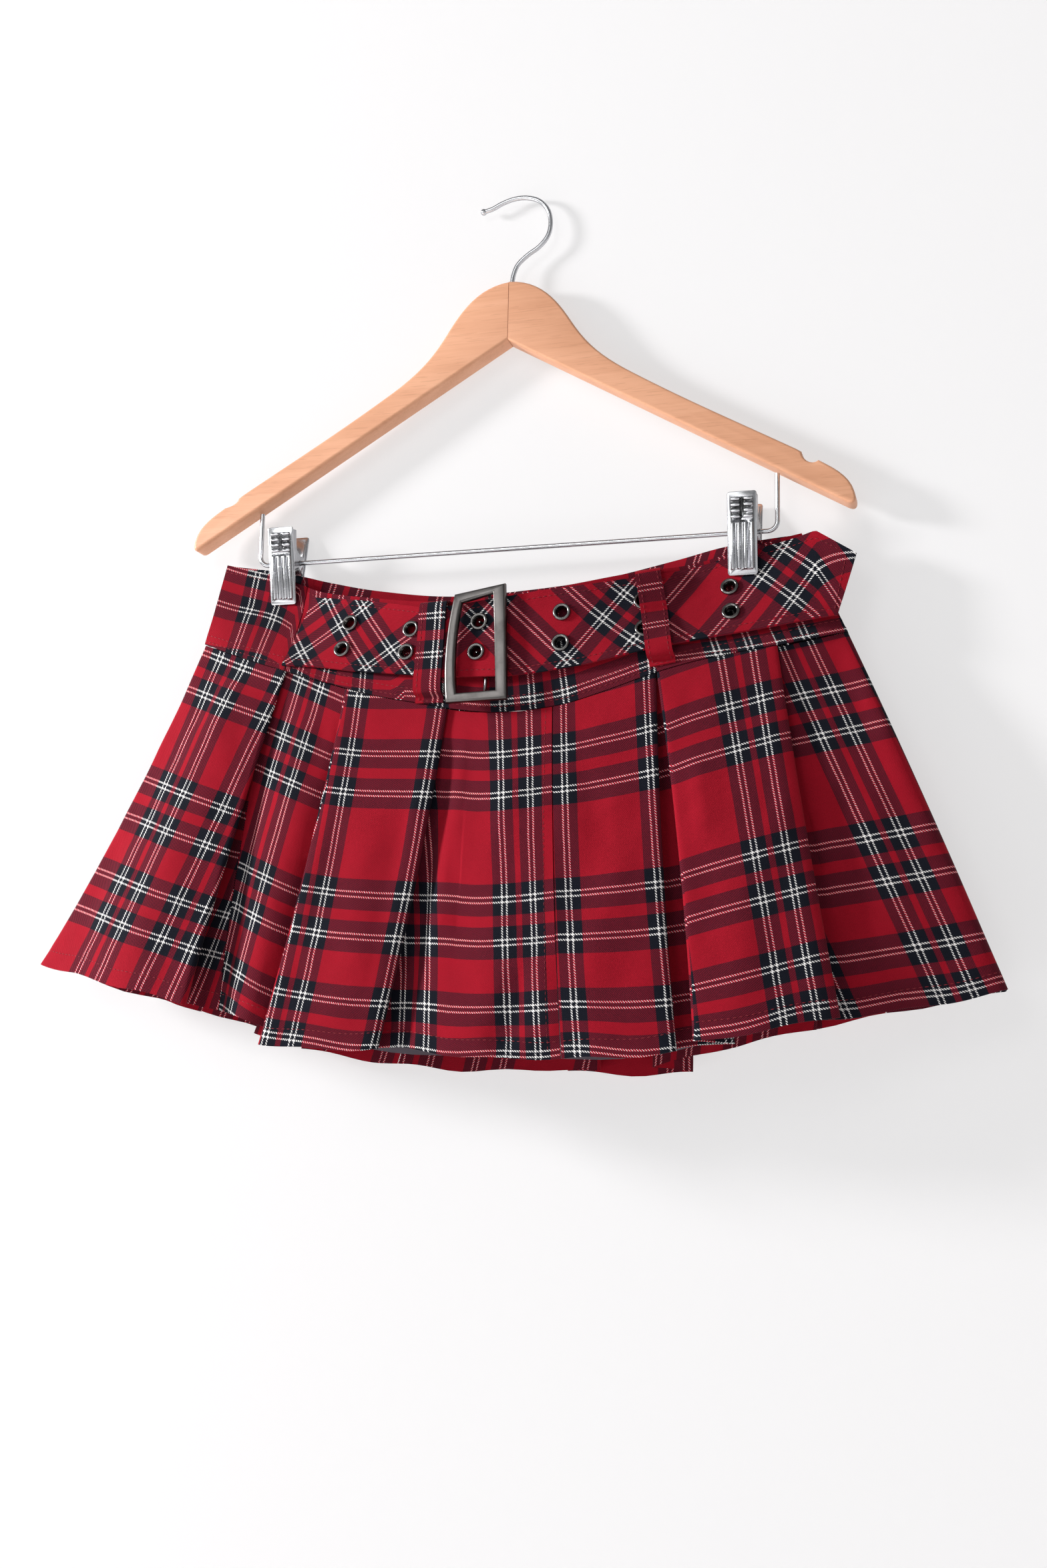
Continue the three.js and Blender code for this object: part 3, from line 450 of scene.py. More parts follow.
# The twill's threads, alone, beside a white line and where a dark band crosses a red one; there the
# red thread's own colour is darkened with painted shade of the twill's ribs.
RED = (0.330, 0.0062, 0.0178)
LINE_RED = (0.450, 0.0070, 0.0260)
CROSSED_RED_TWILL_SHADE = (0.205, 0.0085, 0.0220)
CROSSED_NAVY = (0.027, 0.0070, 0.0135)
NAVY = (0.0075, 0.0088, 0.0150)
WHITE = (0.88, 0.86, 0.85)

# The tartan's threads in millimetres: the centres of its dark bands across (warp) and down
# (weft), each with a pair of white lines, and the repeat of each.
WARP = dict(bands=(0, 19, 49, 68), half=7.6, repeat=122.5)
WEFT = dict(bands=(0, 25.8, 89.8, 115.6), half=9.6, repeat=154.6)
WHITE_PAIR = dict(apart=1.6, half=0.54)
# The twill's slanting ribs, and how much of each the red or white thread shows.
TWILL = dict(pitch=1.06, line_pitch=1.55, red_shows=0.42, white_on_red=0.21, more_on_dark=0.29)


def bands_of(place, bands, half, repeat):
    """Where a place across the cloth is in a dark band, and where on a white line."""
    dark = white = None
    for centre in bands:
        off = abs((place - (centre - repeat / 2)) % repeat - repeat / 2)
        band = off < half
        line = abs(off - WHITE_PAIR["apart"]) < WHITE_PAIR["half"]
        dark = band if dark is None else dark.either(band)
        white = line if white is None else white.either(line)
    return dark, white


def tartan_finish(name):
    finish = Finish(name)
    uv = finish.place("weave")
    parts = finish.node("ShaderNodeSeparateXYZ", {}, {0: uv})
    down = Thread(finish, parts.socket.node.outputs[1])
    across_mm, down_mm = parts * 1000.0, down * 1000.0
    wander = finish.clouds(uv, (60, 60, 60), 2.0)
    across = across_mm + (wander - 0.5) * 0.5
    below = down_mm + (wander - 0.5) * 0.5
    warp_dark, warp_white = bands_of(across, **WARP)
    weft_dark, weft_white = bands_of(below, **WEFT)
    twill = ((across_mm - down_mm) / TWILL["pitch"]) % 1.0
    either, both = warp_dark.either(weft_dark), warp_dark * weft_dark
    # Painted shade: where bands cross, the red thread is darker, standing for the shade in the
    # twill's ribs.
    crossed = finish.mix(twill > TWILL["red_shows"], CROSSED_RED_TWILL_SHADE, CROSSED_NAVY)
    cloth = finish.mix(both, finish.mix(either, RED, crossed), NAVY)
    strokes = ((across_mm - down_mm) / TWILL["line_pitch"]) % 1.0
    for white, other in ((weft_white, warp_dark), (warp_white, weft_dark)):
        stroke = strokes > 1 - TWILL["white_on_red"] - other * TWILL["more_on_dark"]
        line = finish.mix(stroke, finish.mix(other, LINE_RED, NAVY), WHITE)
        cloth = finish.mix(white, cloth, line)
    cloth = finish.mix(warp_white * weft_white, cloth, WHITE)
    mottle = finish.clouds(uv, (38, 38, 38), 4.0, 0.6)
    fibre = finish.clouds(uv, (1500, 1500, 1500), 2.0)
    shade = 0.62 + 0.26 * mottle + 0.50 * fibre
    light = finish.node("ShaderNodeCombineColor", {}, {0: shade, 1: shade, 2: shade})
    colour = finish.node(
        "ShaderNodeMix",
        {"data_type": "RGBA", "blend_type": "MULTIPLY"},
        {0: 1.0, 6: cloth, 7: light},
        output=2,
    )
    crumple = finish.clouds(uv, (24, 34, 30), 3.0, 0.4)
    ribs = abs(twill - 0.5) * -1.2 + fibre * 0.9 + crumple * 16.0
    finish.set(
        Base_Color=colour,
        Roughness=0.86 + 0.1 * mottle,
        Normal=finish.bump(ribs, 0.00022, 0.7),
        Sheen_Weight=0.02,
        Sheen_Roughness=0.5,
        Specular_IOR_Level=0.09,
    )
    return finish.material


def shorts_finish():
    finish = Finish("shorts_jersey")
    uv = finish.place("weave")
    fine = finish.clouds(uv, (900, 300, 900), 2.0)
    broad = finish.clouds(uv, (25, 25, 25), 3.0)
    finish.set(
        Base_Color=finish.mix(broad * 0.7 + fine * 0.3, (0.105, 0.09, 0.11), (0.17, 0.145, 0.175)),
        Roughness=0.82 + 0.12 * fine,
        Normal=finish.bump(fine, 0.0002, 0.4),
        Sheen_Weight=0.2,
    )
    return finish.material


def wood_finish(name, slope):
    """Varnished wood whose grain runs at a slope across the hanger."""
    finish = Finish(name)
    place = finish.place()
    turn = (0, slope, 0)
    broad = finish.clouds(finish.stretch(place, (6, 90, 90), turn), 1.3, 4.0, 0.55)
    fine = finish.clouds(place, (30, 900, 900), 3.0, turn=turn)
    pores = finish.clouds(place, (60, 1500, 1500), 1.0, turn=turn)
    blotch = finish.clouds(place, 14.0, 3.0)
    tone = broad * 0.5 + fine * 0.25 + blotch * 0.25
    base = finish.node(
        "ShaderNodeValToRGB",
        {"stops": [(0.30, (0.65, 0.297, 0.157)), (0.52, (0.755, 0.371, 0.213)),
                   (0.74, (0.84, 0.445, 0.269))]},
        {0: tone},
    )
    flecks = pores > 0.66
    finish.set(
        Base_Color=finish.mix(flecks * 0.22, base, (0.40, 0.15, 0.06)),
        Roughness=0.42 + 0.16 * fine,
        Normal=finish.bump(fine * 0.5 + broad * 0.5, 0.00025, 0.25),
        Coat_Weight=0.1,
        Coat_Roughness=0.4,
    )
    return finish.material


def metal_finish(name, dark, bright, rough, scratch, stain=0.0, patch=240.0):
    """Metal from bright to dark at its edges, where its faces turn from the view, as a painted dark
    reflection; with stains and scratches.
    """
    finish = Finish(name)
    place = finish.place()
    cloud = finish.clouds(place, patch, 4.0, 0.6)
    streak = finish.clouds(place, (700, 90, 4000), 2.0)
    # Painted reflection: the colour darkens where the faces turn away from the view; the clouds add
    # stains on top.
    edge = finish.node("ShaderNodeLayerWeight", {}, {"Blend": 0.42}, output=1)
    shade = (edge * 1.25 - 0.12 + (cloud - 0.5) * (0.4 + stain)).sum("MINIMUM", 1.0).either(0.0)
    finish.set(
        Base_Color=finish.mix(shade, bright, dark),
        Metallic=1.0,
        Roughness=rough + (cloud - 0.5) * 0.25 + (streak - 0.5) * 0.12,
        Normal=finish.bump(cloud * stain + streak * scratch, 0.0001, 0.35),
    )
    return finish.material


def thread_finish(name, colour):
    finish = Finish(name)
    twist = finish.clouds(finish.place(), (2500, 2500, 2500), 1.0)
    deep = tuple(0.55 * c for c in colour)
    finish.set(
        Base_Color=finish.mix(twist, deep, colour),
        Roughness=0.6 + 0.2 * twist,
        Normal=finish.bump(twist, 0.0001, 0.5),
    )
    return finish.material


TARTAN = tartan_finish("tartan_twill")
JERSEY = shorts_finish()
WOOD_LEFT = wood_finish("varnished_wood_left", math.radians(-31))
WOOD_RIGHT = wood_finish("varnished_wood_right", math.radians(31))
STEEL = metal_finish("polished_steel", (0.09, 0.09, 0.10), (0.74, 0.75, 0.78), 0.23, 0.12)
NICKEL = metal_finish(
    "antique_nickel", (0.012, 0.011, 0.011), (0.17, 0.16, 0.155), 0.36, 0.3, stain=1.3, patch=60.0
)
GUNMETAL = metal_finish("gunmetal", (0.012, 0.012, 0.013), (0.22, 0.215, 0.21), 0.24, 0.1)
RED_THREAD = thread_finish("red_thread", (0.30, 0.008, 0.02))


# ------------------------------------------------------------------ meshes


def add_object(name, data):
    made = bpy.data.objects.new(name, data)
    bpy.context.scene.collection.objects.link(made)
    return made


def add_mesh(name, bm):
    mesh = bpy.data.meshes.new(name)
    bm.to_mesh(mesh)
    bm.free()
    return add_object(name, mesh)


def piece(name, bm, material, slot, *nodes, hard=50.0):
    """Turns a bmesh into a finished piece that rides on the part and stands for its nodes."""
    for face in bm.faces:
        face.smooth = True
    for edge in bm.edges:
        if len(edge.link_faces) == 2 and edge.calc_face_angle(0) > math.radians(hard):
            edge.smooth = False
    made = add_mesh(name, bm)
    made.data.materials.append(material)
    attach(made, "root")
    if nodes:
        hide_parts(*nodes)
    return made


def cloth_bmesh(sheet, weave, thick):
    """A wall of cloth round a sheet of points in millimetres, sheet[row][column], with the
    grain weave(row, column, side_column) as its UV map."""
    down, across = len(sheet), len(sheet[0])
    bm = bmesh.new()
    uv = bm.loops.layers.uv.new("weave")
    bmesh.ops.create_grid(bm, x_segments=across - 1, y_segments=down - 1, size=1.0)
    spot = {}
    for vert in bm.verts:
        column = round((vert.co.x + 1) / 2 * (across - 1))
        row = round((1 - vert.co.y) / 2 * (down - 1))
        spot[vert.index] = (row, column)
    bm.verts.ensure_lookup_table()
    for vert in bm.verts:
        row, column = spot[vert.index]
        vert.co = sheet[row][column] * MM
    for face in bm.faces:
        left = min(spot[loop.vert.index][1] for loop in face.loops)
        for loop in face.loops:
            row, column = spot[loop.vert.index]
            loop[uv].uv = [value * MM for value in weave(row, column, left)]
    bm.normal_update()
    for vert in bm.verts:
        vert.co += vert.normal * (thick / 2 * MM)
    bmesh.ops.solidify(bm, geom=list(bm.faces), thickness=thick * MM)
    return bm


def flat_area(sheet):
    """Area of a sheet of points, in square metres."""
    total = 0.0
    for upper, lower in zip(sheet, sheet[1:]):
        for a, b, c, d in zip(upper, upper[1:], lower[1:], lower):
            total += (b - a).cross(c - a).length / 2 + (c - a).cross(d - a).length / 2
    return total * MM * MM


def declare_sheet(sheet):
    """Works out the width and drop of the rectangle that a piece is cut from, and its area; none of
    them is kept.
    """
    width = max(walk(line)[-1] for line in sheet) * MM
    drop = max(walk(line)[-1] for line in zip(*sheet)) * MM
    flat_area(sheet)


def bevel(bm, edges, reach, segments):
    """Rounds edges off, with reach in millimetres."""
    bmesh.ops.bevel(
        bm, geom=edges, offset=reach * MM, affect="EDGES", segments=segments, profile=0.5,
        material=-1, clamp_overlap=True,
    )


def extrude(bm, faces, way):
    """Draws faces out along a way in metres."""
    made = bmesh.ops.extrude_face_region(bm, geom=faces)["geom"]
    moved = [g for g in made if isinstance(g, bmesh.types.BMVert)]
    bmesh.ops.translate(bm, vec=way, verts=moved)


def placed(point, way, axis="Z", up="Y"):
    """Stands a shape at a point in millimetres with one of its axes along a way."""
    return Matrix.Translation(point * MM) @ way.to_track_quat(axis, up).to_matrix().to_4x4()


def sweep(points, radius, sides):
    """A round rod through points in millimetres, by extruding a circle from one to the next."""
    bm = bmesh.new()
    points = [Vector(p) * MM for p in points]
    ring = side = None
    for k, point in enumerate(points):
        before, after = points[max(0, k - 1)], points[min(len(points) - 1, k + 1)]
        way = (after - before).normalized()
        if side is None:
            side = way.orthogonal().normalized()
        side = (side - way * side.dot(way)).normalized()
        across = way.cross(side)
        if ring is None:
            made = bmesh.ops.create_circle(bm, cap_ends=True, segments=sides, radius=radius * MM)
            ring = made["verts"]
            edges = list({e for v in ring for e in v.link_edges})
        else:
            made = bmesh.ops.extrude_edge_only(bm, edges=edges)["geom"]
            edges = [g for g in made if isinstance(g, bmesh.types.BMEdge)]
            edges = [e for e in edges if all(v in made for v in e.verts)]
            ring_set = [g for g in made if isinstance(g, bmesh.types.BMVert)]
            order = {}
            for edge in {e for v in ring for e in v.link_edges}:
                for a, b in ((edge.verts[0], edge.verts[1]), (edge.verts[1], edge.verts[0])):
                    if a in ring and b in ring_set:
                        order[a] = b
            ring = [order[v] for v in ring]
            edges = [e for e in edges if e.verts[0] in ring and e.verts[1] in ring]
        for step, vert in enumerate(ring):
            angle = 2 * math.pi * step / sides
            vert.co = point + (side * math.cos(angle) + across * math.sin(angle)) * radius * MM
    bmesh.ops.contextual_create(bm, geom=edges)
    bmesh.ops.recalc_face_normals(bm, faces=list(bm.faces))
    return bm


def rounded_path(points, count):
    """A smooth path of count points through a few, on centripetal curves."""
    points = [Vector(p) for p in points]
    points = [2 * points[0] - points[1], *points, 2 * points[-1] - points[-2]]
    steps = []
    spans = len(points) - 3
    for k in range(count):
        place = k / (count - 1) * spans
        i = min(spans - 1, int(place))
        t = place - i
        p0, p1, p2, p3 = points[i : i + 4]
        knots = [0.0]
        for a, b in ((p0, p1), (p1, p2), (p2, p3)):
            knots.append(knots[-1] + max(1e-6, (b - a).length) ** 0.5)
        u = lerp(knots[1], knots[2], t)

        def between(a, b, ka, kb):
            return a.lerp(b, (u - ka) / (kb - ka))

        a1 = between(p0, p1, knots[0], knots[1])
        a2 = between(p1, p2, knots[1], knots[2])
        a3 = between(p2, p3, knots[2], knots[3])
        b1 = between(a1, a2, knots[0], knots[2])
        b2 = between(a2, a3, knots[1], knots[3])
        steps.append(between(b1, b2, knots[1], knots[2]))
    return steps


# ------------------------------------------------------------------ the pleated part


def fold_x(fold, v):
    return through(fold["x_top"], fold["x_mid"], fold["x_hem"], v)


def seam_z(x, is_back):
    """Height of the yoke seam. The back's is the front's, turned round, levelled and lifted."""
    if not is_back:
        return along(SEAM_LINE, x, "z")
    left, right = SEAM_EDGE["left"], SEAM_EDGE["right"]
    t = (x - left) / (right - left)
    tilt = along(SEAM_LINE, right, "z") - along(SEAM_LINE, left, "z")
    lift = BACK_HEM["lift"] * math.sin(math.pi * clamp(t))
    return along(SEAM_LINE, left + right - x, "z") - tilt * (1 - 2 * t) + lift


def base_y(t, v, is_back):
    """Depth of the garment at t across and v down the skirt, before its pleats."""
    face, side = ("back", 1) if is_back else ("front", -1)
    edge = lerp(SEAM_EDGE[face], HEM_EDGE[face], v)
    return edge + side * lerp(SEAM_DEPTH[face], HEM_DEPTH[face], v) * fullness(t)


def section(v):
    """Corners of the pleats at v of the drop, round the front and then round the back."""
    left, right = fold_x(FOLDS[0], v), fold_x(FOLDS[-1], v)
    tilt = FOLDS[-1]["z_hem"] - FOLDS[0]["z_hem"]
    corners = []
    for is_back in (False, True):
        for fold in FOLDS:
            x = fold_x(fold, v)
            t = clamp((x - left) / (right - left))
            side = 1 if is_back else -1
            bulge = through(0, fold["bulge_mid"], fold["bulge_hem"], v)
            bulge *= BACK_BULGE if is_back else 1
            sag = tilt * (1 - 2 * t) - BACK_HEM["drop"] * math.sin(math.pi * t)
            layers = sorted({fold["layer_in"], fold["layer_out"]})
            if fold["layer_in"] > fold["layer_out"]:
                layers.reverse()
            for layer in layers:
                hem_gap = PLEAT_GAP["back_hem" if is_back else "hem"]
                step = layer * lerp(PLEAT_GAP["top"], hem_gap, v)
                corners.append(dict(
                    name=fold["name"],
                    back=is_back,
                    fold=len(layers) > 1,
                    layer=layer,
                    point=Vector((
                        left + right - x if is_back else x,
                        base_y(t, v, is_back) + side * (bulge - step),
                        fold["z_hem"] + (sag if is_back else 0),
                    )),
                ))
    return corners


def run_of(corners, first, last):
    """Corners from one to another, round the whole garment if need be."""
    def find(name, is_back):
        return next(
            k for k, c in enumerate(corners) if c["name"] == name and c["back"] == bool(is_back)
        )

    start, stop = find(*first), find(*last)
    if stop <= start:
        stop += len(corners)
    return [corners[k % len(corners)] for k in range(start, stop + 1)]


def rounding(run, k):
    """How far the curve at a corner reaches back and on along its two sides."""
    reaches = []
    for other in (k - 1, k + 1):
        side = (run[other]["point"] - run[k]["point"]).length
        if not run[k]["fold"]:
            sides = [(run[j]["point"] - run[k]["point"]).length for j in (k - 1, k + 1)]
            reaches.append(min(ROUNDING["plain"], ROUNDING["plain_share"] * min(sides)))
        elif run[other]["name"] == run[k]["name"]:
            reaches.append(0.5 * side)
        else:
            reaches.append(min(ROUNDING["fold"], ROUNDING["fold_share"] * side))
    return reaches


def stations_of(run):
    """Columns of a panel: ends, curves at corners and straight stretches between them."""
    stations = [("end", 0, 0.0)]
    for k in range(len(run)):
        if 0 < k < len(run) - 1:
            steps = (0, 0.34, 0.66, 1) if run[k]["fold"] else (0, 0.25, 0.5, 0.75, 1)
            stations += [("curve", k, t) for t in steps]
        if k < len(run) - 1:
            side = (run[k + 1]["point"] - run[k]["point"]).length
            count = max(1, round(0.5 * side / PANEL_PITCH)) if side > 12 else 1
            stations += [("line", k, i / count) for i in range(1, count)]
    return [*stations, ("end", len(run) - 1, 0.0)]


def run_points(run, stations):
    """A point for each column of a panel, on the sides and curves of its pleats."""
    reach = {k: rounding(run, k) for k in range(1, len(run) - 1)}

    def toward(k, other, distance):
        way = run[other]["point"] - run[k]["point"]
        return run[k]["point"] + way.normalized() * distance

    def leave(k):
        return toward(k, k + 1, reach[k][1]) if k in reach else run[k]["point"]

    def meet(k):
        return toward(k, k - 1, reach[k][0]) if k in reach else run[k]["point"]

    points = []
    for kind, k, t in stations:
        if kind == "end":
            points.append(toward(k, 1 if k == 0 else k - 1, SEAM_GAP))
        elif kind == "curve":
            corner = run[k]["point"]
            points.append(meet(k) * (1 - t) ** 2 + corner * 2 * t * (1 - t) + leave(k) * t * t)
        else:
            points.append(leave(k).lerp(meet(k + 1), t))
    return points


def crease(x, z, is_back, layer):
    """How far the soft creases lift the cloth outwards at a place."""
    rise = 0.0
    for row in CREASES:
        shows = clamp(layer - 1) if row["layer"] else 1 - clamp(layer)
        if row["back"] != int(is_back) or shows == 0:
            continue
        a, b = Vector((row["x_a"], row["z_a"])), Vector((row["x_b"], row["z_b"]))
        way = b - a
        share = (Vector((x, z)) - a).dot(way) / way.length_squared
        off = (Vector((x, z)) - a.lerp(b, share)).length / row["width"]
        if off < 3 and -0.4 < share < 1.4:
            taper = smooth((share + 0.35) / 0.5) * smooth((1.35 - share) / 0.5)
            rise += row["rise"] * math.exp(-off * off) * taper * shows
    side = 40.0 if is_back else 0.0
    return rise + sum(
        noise.noise(Vector((x * row["across"], side + row["shift"], z * row["down"]))) * row["rise"]
        for row in RIPPLES
    )


def grain_cuts(stations, names):
    """Splits a panel's columns into cuts of cloth, each with its anchors of the grain."""
    cuts = [dict(start=0, anchors=[])]
    for corner, key in enumerate(names):
        columns = [i for i, s in enumerate(stations) if s[1] == corner and s[0] != "line"]
        column = columns[len(columns) // 2]
        first, last = names.index(key) == corner, corner == len(names) - 1
        for row in GRAIN:
            if (row["name"], bool(row["back"])) != key:
                continue
            starts = row["cut"] > 0
            twice = names.count(key) > 1
            if (starts and last) or (not starts and corner == 0) or (twice and starts == first):
                continue
            if starts and corner > 0:
                cuts.append(dict(start=column, anchors=[]))
            if row["cut"] < 2:
                cuts[-1]["anchors"].append(dict(row, column=column))
    return cuts


def skirt_panel(row):
    """Builds a panel of the pleated part and returns its sheet of points."""
    first = (row["first"], bool(row["first_back"]))
    last = (row["last"], bool(row["last_back"]))
    pattern = run_of(section(PATTERN_LEVEL), first, last)
    stations = stations_of(pattern)
    names = [(corner["name"], corner["back"]) for corner in pattern]
    middle = (SEAM_EDGE["front"] + SEAM_EDGE["back"]) / 2
    tops = run_points(run_of(section(0), first, last), stations)
    plain = []
    for step in range(PANEL_ROWS + 1):
        v = step / PANEL_ROWS
        line = run_points(run_of(section(v), first, last), stations)
        for k, (top, point) in enumerate(zip(tops, line)):
            seam = seam_z(top.x, top.y > middle) - 2 * SEAM_GAP
            line[k] = Vector((point.x, point.y, lerp(seam, point.z, v)))
        plain.append(line)
    spans = [walk(line) for line in plain]
    cuts = grain_cuts(stations, names)

    def weave(step, column, left):
        cut = [c for c in cuts if c["start"] <= left][-1]
        v = step / PANEL_ROWS
        anchors = sorted(cut["anchors"], key=lambda a: a["column"])
        run = spans[step]

        def at(anchor):
            u, w = (lerp(anchor[key + "_top"], anchor[key + "_hem"], v) for key in "uw")
            return u, w

        for anchor, outside in (
            (anchors[0], column <= anchors[0]["column"] or len(anchors) == 1),
            (anchors[-1], column >= anchors[-1]["column"]),
        ):
            if outside:
                u, w = at(anchor)
                return u + run[column] - run[anchor["column"]], w
        for a, b in zip(anchors, anchors[1:]):
            if column <= b["column"]:
                share = (run[column] - run[a["column"]]) / (run[b["column"]] - run[a["column"]])
                (ua, wa), (ub, wb) = at(a), at(b)
                return lerp(ua, ub, share), lerp(wa, wb, share)

    sheet = []
    for step, line in enumerate(plain):
        v = step / PANEL_ROWS
        ease = smooth(v / 0.12)
        out = []
        for k, point in enumerate(line):
            is_back = point.y > middle
            kind, corner, _ = stations[k]
            calm = 0.35 if kind == "curve" and pattern[corner]["fold"] else 1.0
            if k in (0, len(line) - 1):
                calm = 0.0
            elif k in (1, 2, len(line) - 2, len(line) - 3):
                calm *= 0.5
            layer = pattern[corner]["layer"]
            if kind == "line":
                layer = lerp(layer, pattern[corner + 1]["layer"], stations[k][2])
            lift = crease(point.x, point.z, is_back, layer) * ease * calm
            above = (1 - v) * PANEL_DROP
            pucker = HEM["pucker"] * math.exp(-((above - HEM_STITCH) / HEM["width"]) ** 2)
            flare = (pucker + lift) * (1 if is_back else -1)
            swing = math.sin(point.x * HEM["step"] + (2 if is_back else 0))
            wave = HEM["wave"] * swing * smooth((v - 0.8) / 0.2)
            out.append(point + Vector((0, flare, wave)))
        sheet.append(out)
    bm = cloth_bmesh(sheet, weave, CLOTH)
    made = piece(row["name"] + "_cloth", bm, TARTAN, "tartan", row["name"])
    yoke = "front_yoke_cloth" if "front" in row["name"] else "back_yoke_cloth"
    declare_sheet(sheet)
    return sheet


# ------------------------------------------------------------------ the yoke


def yoke_point(t, w, is_back):
    """A point of the yoke at t across the garment and w down from the waist."""
    upper, level = (BACK_WAIST, BACK_CLAMP) if is_back else (FRONT_WAIST, FRONT_CLAMP)

    def read(rows):
        x = lerp(rows[0]["x"], rows[-1]["x"], t)
        return Vector((x, along(rows, x, "y"), along(rows, x, "z")))

    x = lerp(SEAM_EDGE["left"], SEAM_EDGE["right"], t)
    seam = Vector((x, base_y(t, 0, is_back), seam_z(x, is_back)))
    if w < CLAMP_LEVEL:
        return read(upper).lerp(read(level), w / CLAMP_LEVEL)
    return read(level).lerp(seam, (w - CLAMP_LEVEL) / (1 - CLAMP_LEVEL))


def yoke_y(x, z):
    """Depth of the middle of the front yoke's cloth at a given x and z."""
    t = w = 0.5
    for _ in range(12):
        high, low, level = yoke_point(t, 0, 0), yoke_point(t, 1, 0), yoke_point(t, CLAMP_LEVEL, 0)
        if z > level.z:
            w = CLAMP_LEVEL * clamp((high.z - z) / (high.z - level.z))
        else:
            w = CLAMP_LEVEL + (1 - CLAMP_LEVEL) * clamp((level.z - z) / (level.z - low.z))
        left, right = yoke_point(0, w, 0), yoke_point(1, w, 0)
        t = clamp((x - left.x) / (right.x - left.x))
    return yoke_point(t, w, 0).y


def fold_row(name):
    return next(fold for fold in FOLDS if fold["name"] == name)


SEAM_WIDTH = SEAM_EDGE["right"] - SEAM_EDGE["left"]
SIDE_FRONT = (fold_row("side_fold")["x_top"] - SEAM_EDGE["left"]) / SEAM_WIDTH
SIDE_BACK = (SEAM_EDGE["right"] - fold_row("side_face")["x_top"]) / SEAM_WIDTH

# The yoke's grain: each cut of its cloth starts at x on the front and has u at an anchor's x.
YOKE_GRAIN = rows_of(
    "name start x u",
    ("front_yoke", -206, -118, 64),
    ("front_yoke", -96.5, -62, 93),
    ("front_yoke", -28, 10.2, 122.5),
    ("front_yoke", 40, 46.5, 68),
    ("front_yoke", 103, 139, 121),
    ("front_yoke", 173, 185, 134),
    ("back_yoke", -206, -183.1, 0),
)
YOKE_DROP = rows_of(
    "x w", (-206, -9), (-142, -8), (-140, -43), (-64, -43), (-56, -34.5), (0, -33), (98, -32),
    (130, -36), (150, -38), (213, -39),
)
YOKE_ROWS = 18
YOKE_COLUMNS = 84
YOKE_RIPPLE = dict(rise=0.5, step=0.05)
# Half of the gap at a side seam, as a share of the yoke seam's width.
SIDE_GAP = 0.00075


def yoke_columns(*runs):
    """Columns of a yoke along runs of its front or back: from, to and whether at the back."""
    columns = []
    for start, stop, is_back in runs:
        count = max(2, round(abs(stop - start) * YOKE_COLUMNS))
        columns += [(lerp(start, stop, k / count), is_back) for k in range(count + 1)]
    return columns


def yoke_panel(name, columns):
    """Builds a yoke and returns its sheet of points."""
    sheet = []
    for step in range(YOKE_ROWS + 1):
        w = step / YOKE_ROWS
        line = []
        for k, (t, is_back) in enumerate(columns):
            point = yoke_point(t, w, is_back)
            hold = smooth(w / 0.5) * (0 if k in (0, len(columns) - 1) else 1)
            ease = hold * smooth((1 - w) / 0.12)
            side = 1 if is_back else -1
            place = Vector((point.x * YOKE_RIPPLE["step"], side * 5, point.z * YOKE_RIPPLE["step"]))
            lift = YOKE_RIPPLE["rise"] * noise.noise(place)
            line.append(point + Vector((0, side * lift * ease, 0)))
        sheet.append(line)
    runs = [walk(line) for line in sheet]
    heights = [
        [sum((sheet[r + 1][k] - sheet[r][k]).length for r in range(step, YOKE_ROWS))
         for k in range(len(columns))]
        for step in range(YOKE_ROWS + 1)
    ]
    cuts = []
    for row in (grain for grain in YOKE_GRAIN if grain["name"] == name):
        def column_at(x):
            fronts = [k for k, (_, is_back) in enumerate(columns) if not is_back]
            return min(fronts, key=lambda k: abs(sheet[-1][k].x - x))

        start = column_at(row["start"]) if cuts else 0
        cuts.append(dict(start=start, column=column_at(row["x"]), u=row["u"]))

    def weave(step, column, left):
        cut = [c for c in cuts if c["start"] <= left][-1]
        u = cut["u"] + runs[step][column] - runs[step][cut["column"]]
        x = max(SEAM_EDGE["left"], sheet[-1][column].x)
        return u, along(YOKE_DROP, x, "w") - heights[step][column]

    bm = cloth_bmesh(sheet, weave, CLOTH)
    made = piece(name + "_cloth", bm, TARTAN, "tartan", name)
    declare_sheet(sheet)
    return sheet


# ------------------------------------------------------------------ belt, loops and tab


def belt_point(x, v):
    """A point of the belt at x along its upper edge and v down its width."""
    k = 0
    while k < len(BELT_ROWS) - 2 and x > BELT_ROWS[k + 1]["x_top"]:
        k += 1
    a, b = BELT_ROWS[k], BELT_ROWS[k + 1]
    t = clamp((x - a["x_top"]) / (b["x_top"] - a["x_top"]))
    mix = {key: lerp(a[key], b[key], t) for key in a}
    high = yoke_y(mix["x_top"], mix["z_top"]) - mix["stand_top"]
    low = yoke_y(mix["x_low"], mix["z_low"]) - mix["stand_low"]
    return Vector((
        lerp(mix["x_top"], mix["x_low"], v),
        lerp(high, low, v ** BELT_BEND),
        lerp(mix["z_top"], mix["z_low"], v),
    ))


def belt_frame(x, v):
    """A point of the belt and the way out of its face."""
    side = belt_point(x + 4, v) - belt_point(x - 4, v)
    fall = belt_point(x, v + 0.08) - belt_point(x, v - 0.08)
    return belt_point(x, v), fall.cross(side).normalized()


EYELETS = [
    dict(name=f"eyelet_{k + 1}_{word}", x=pair["along"], v=pair[word])
    for k, pair in enumerate(EYELET_PAIRS)
    for word in ("upper", "lower")
]


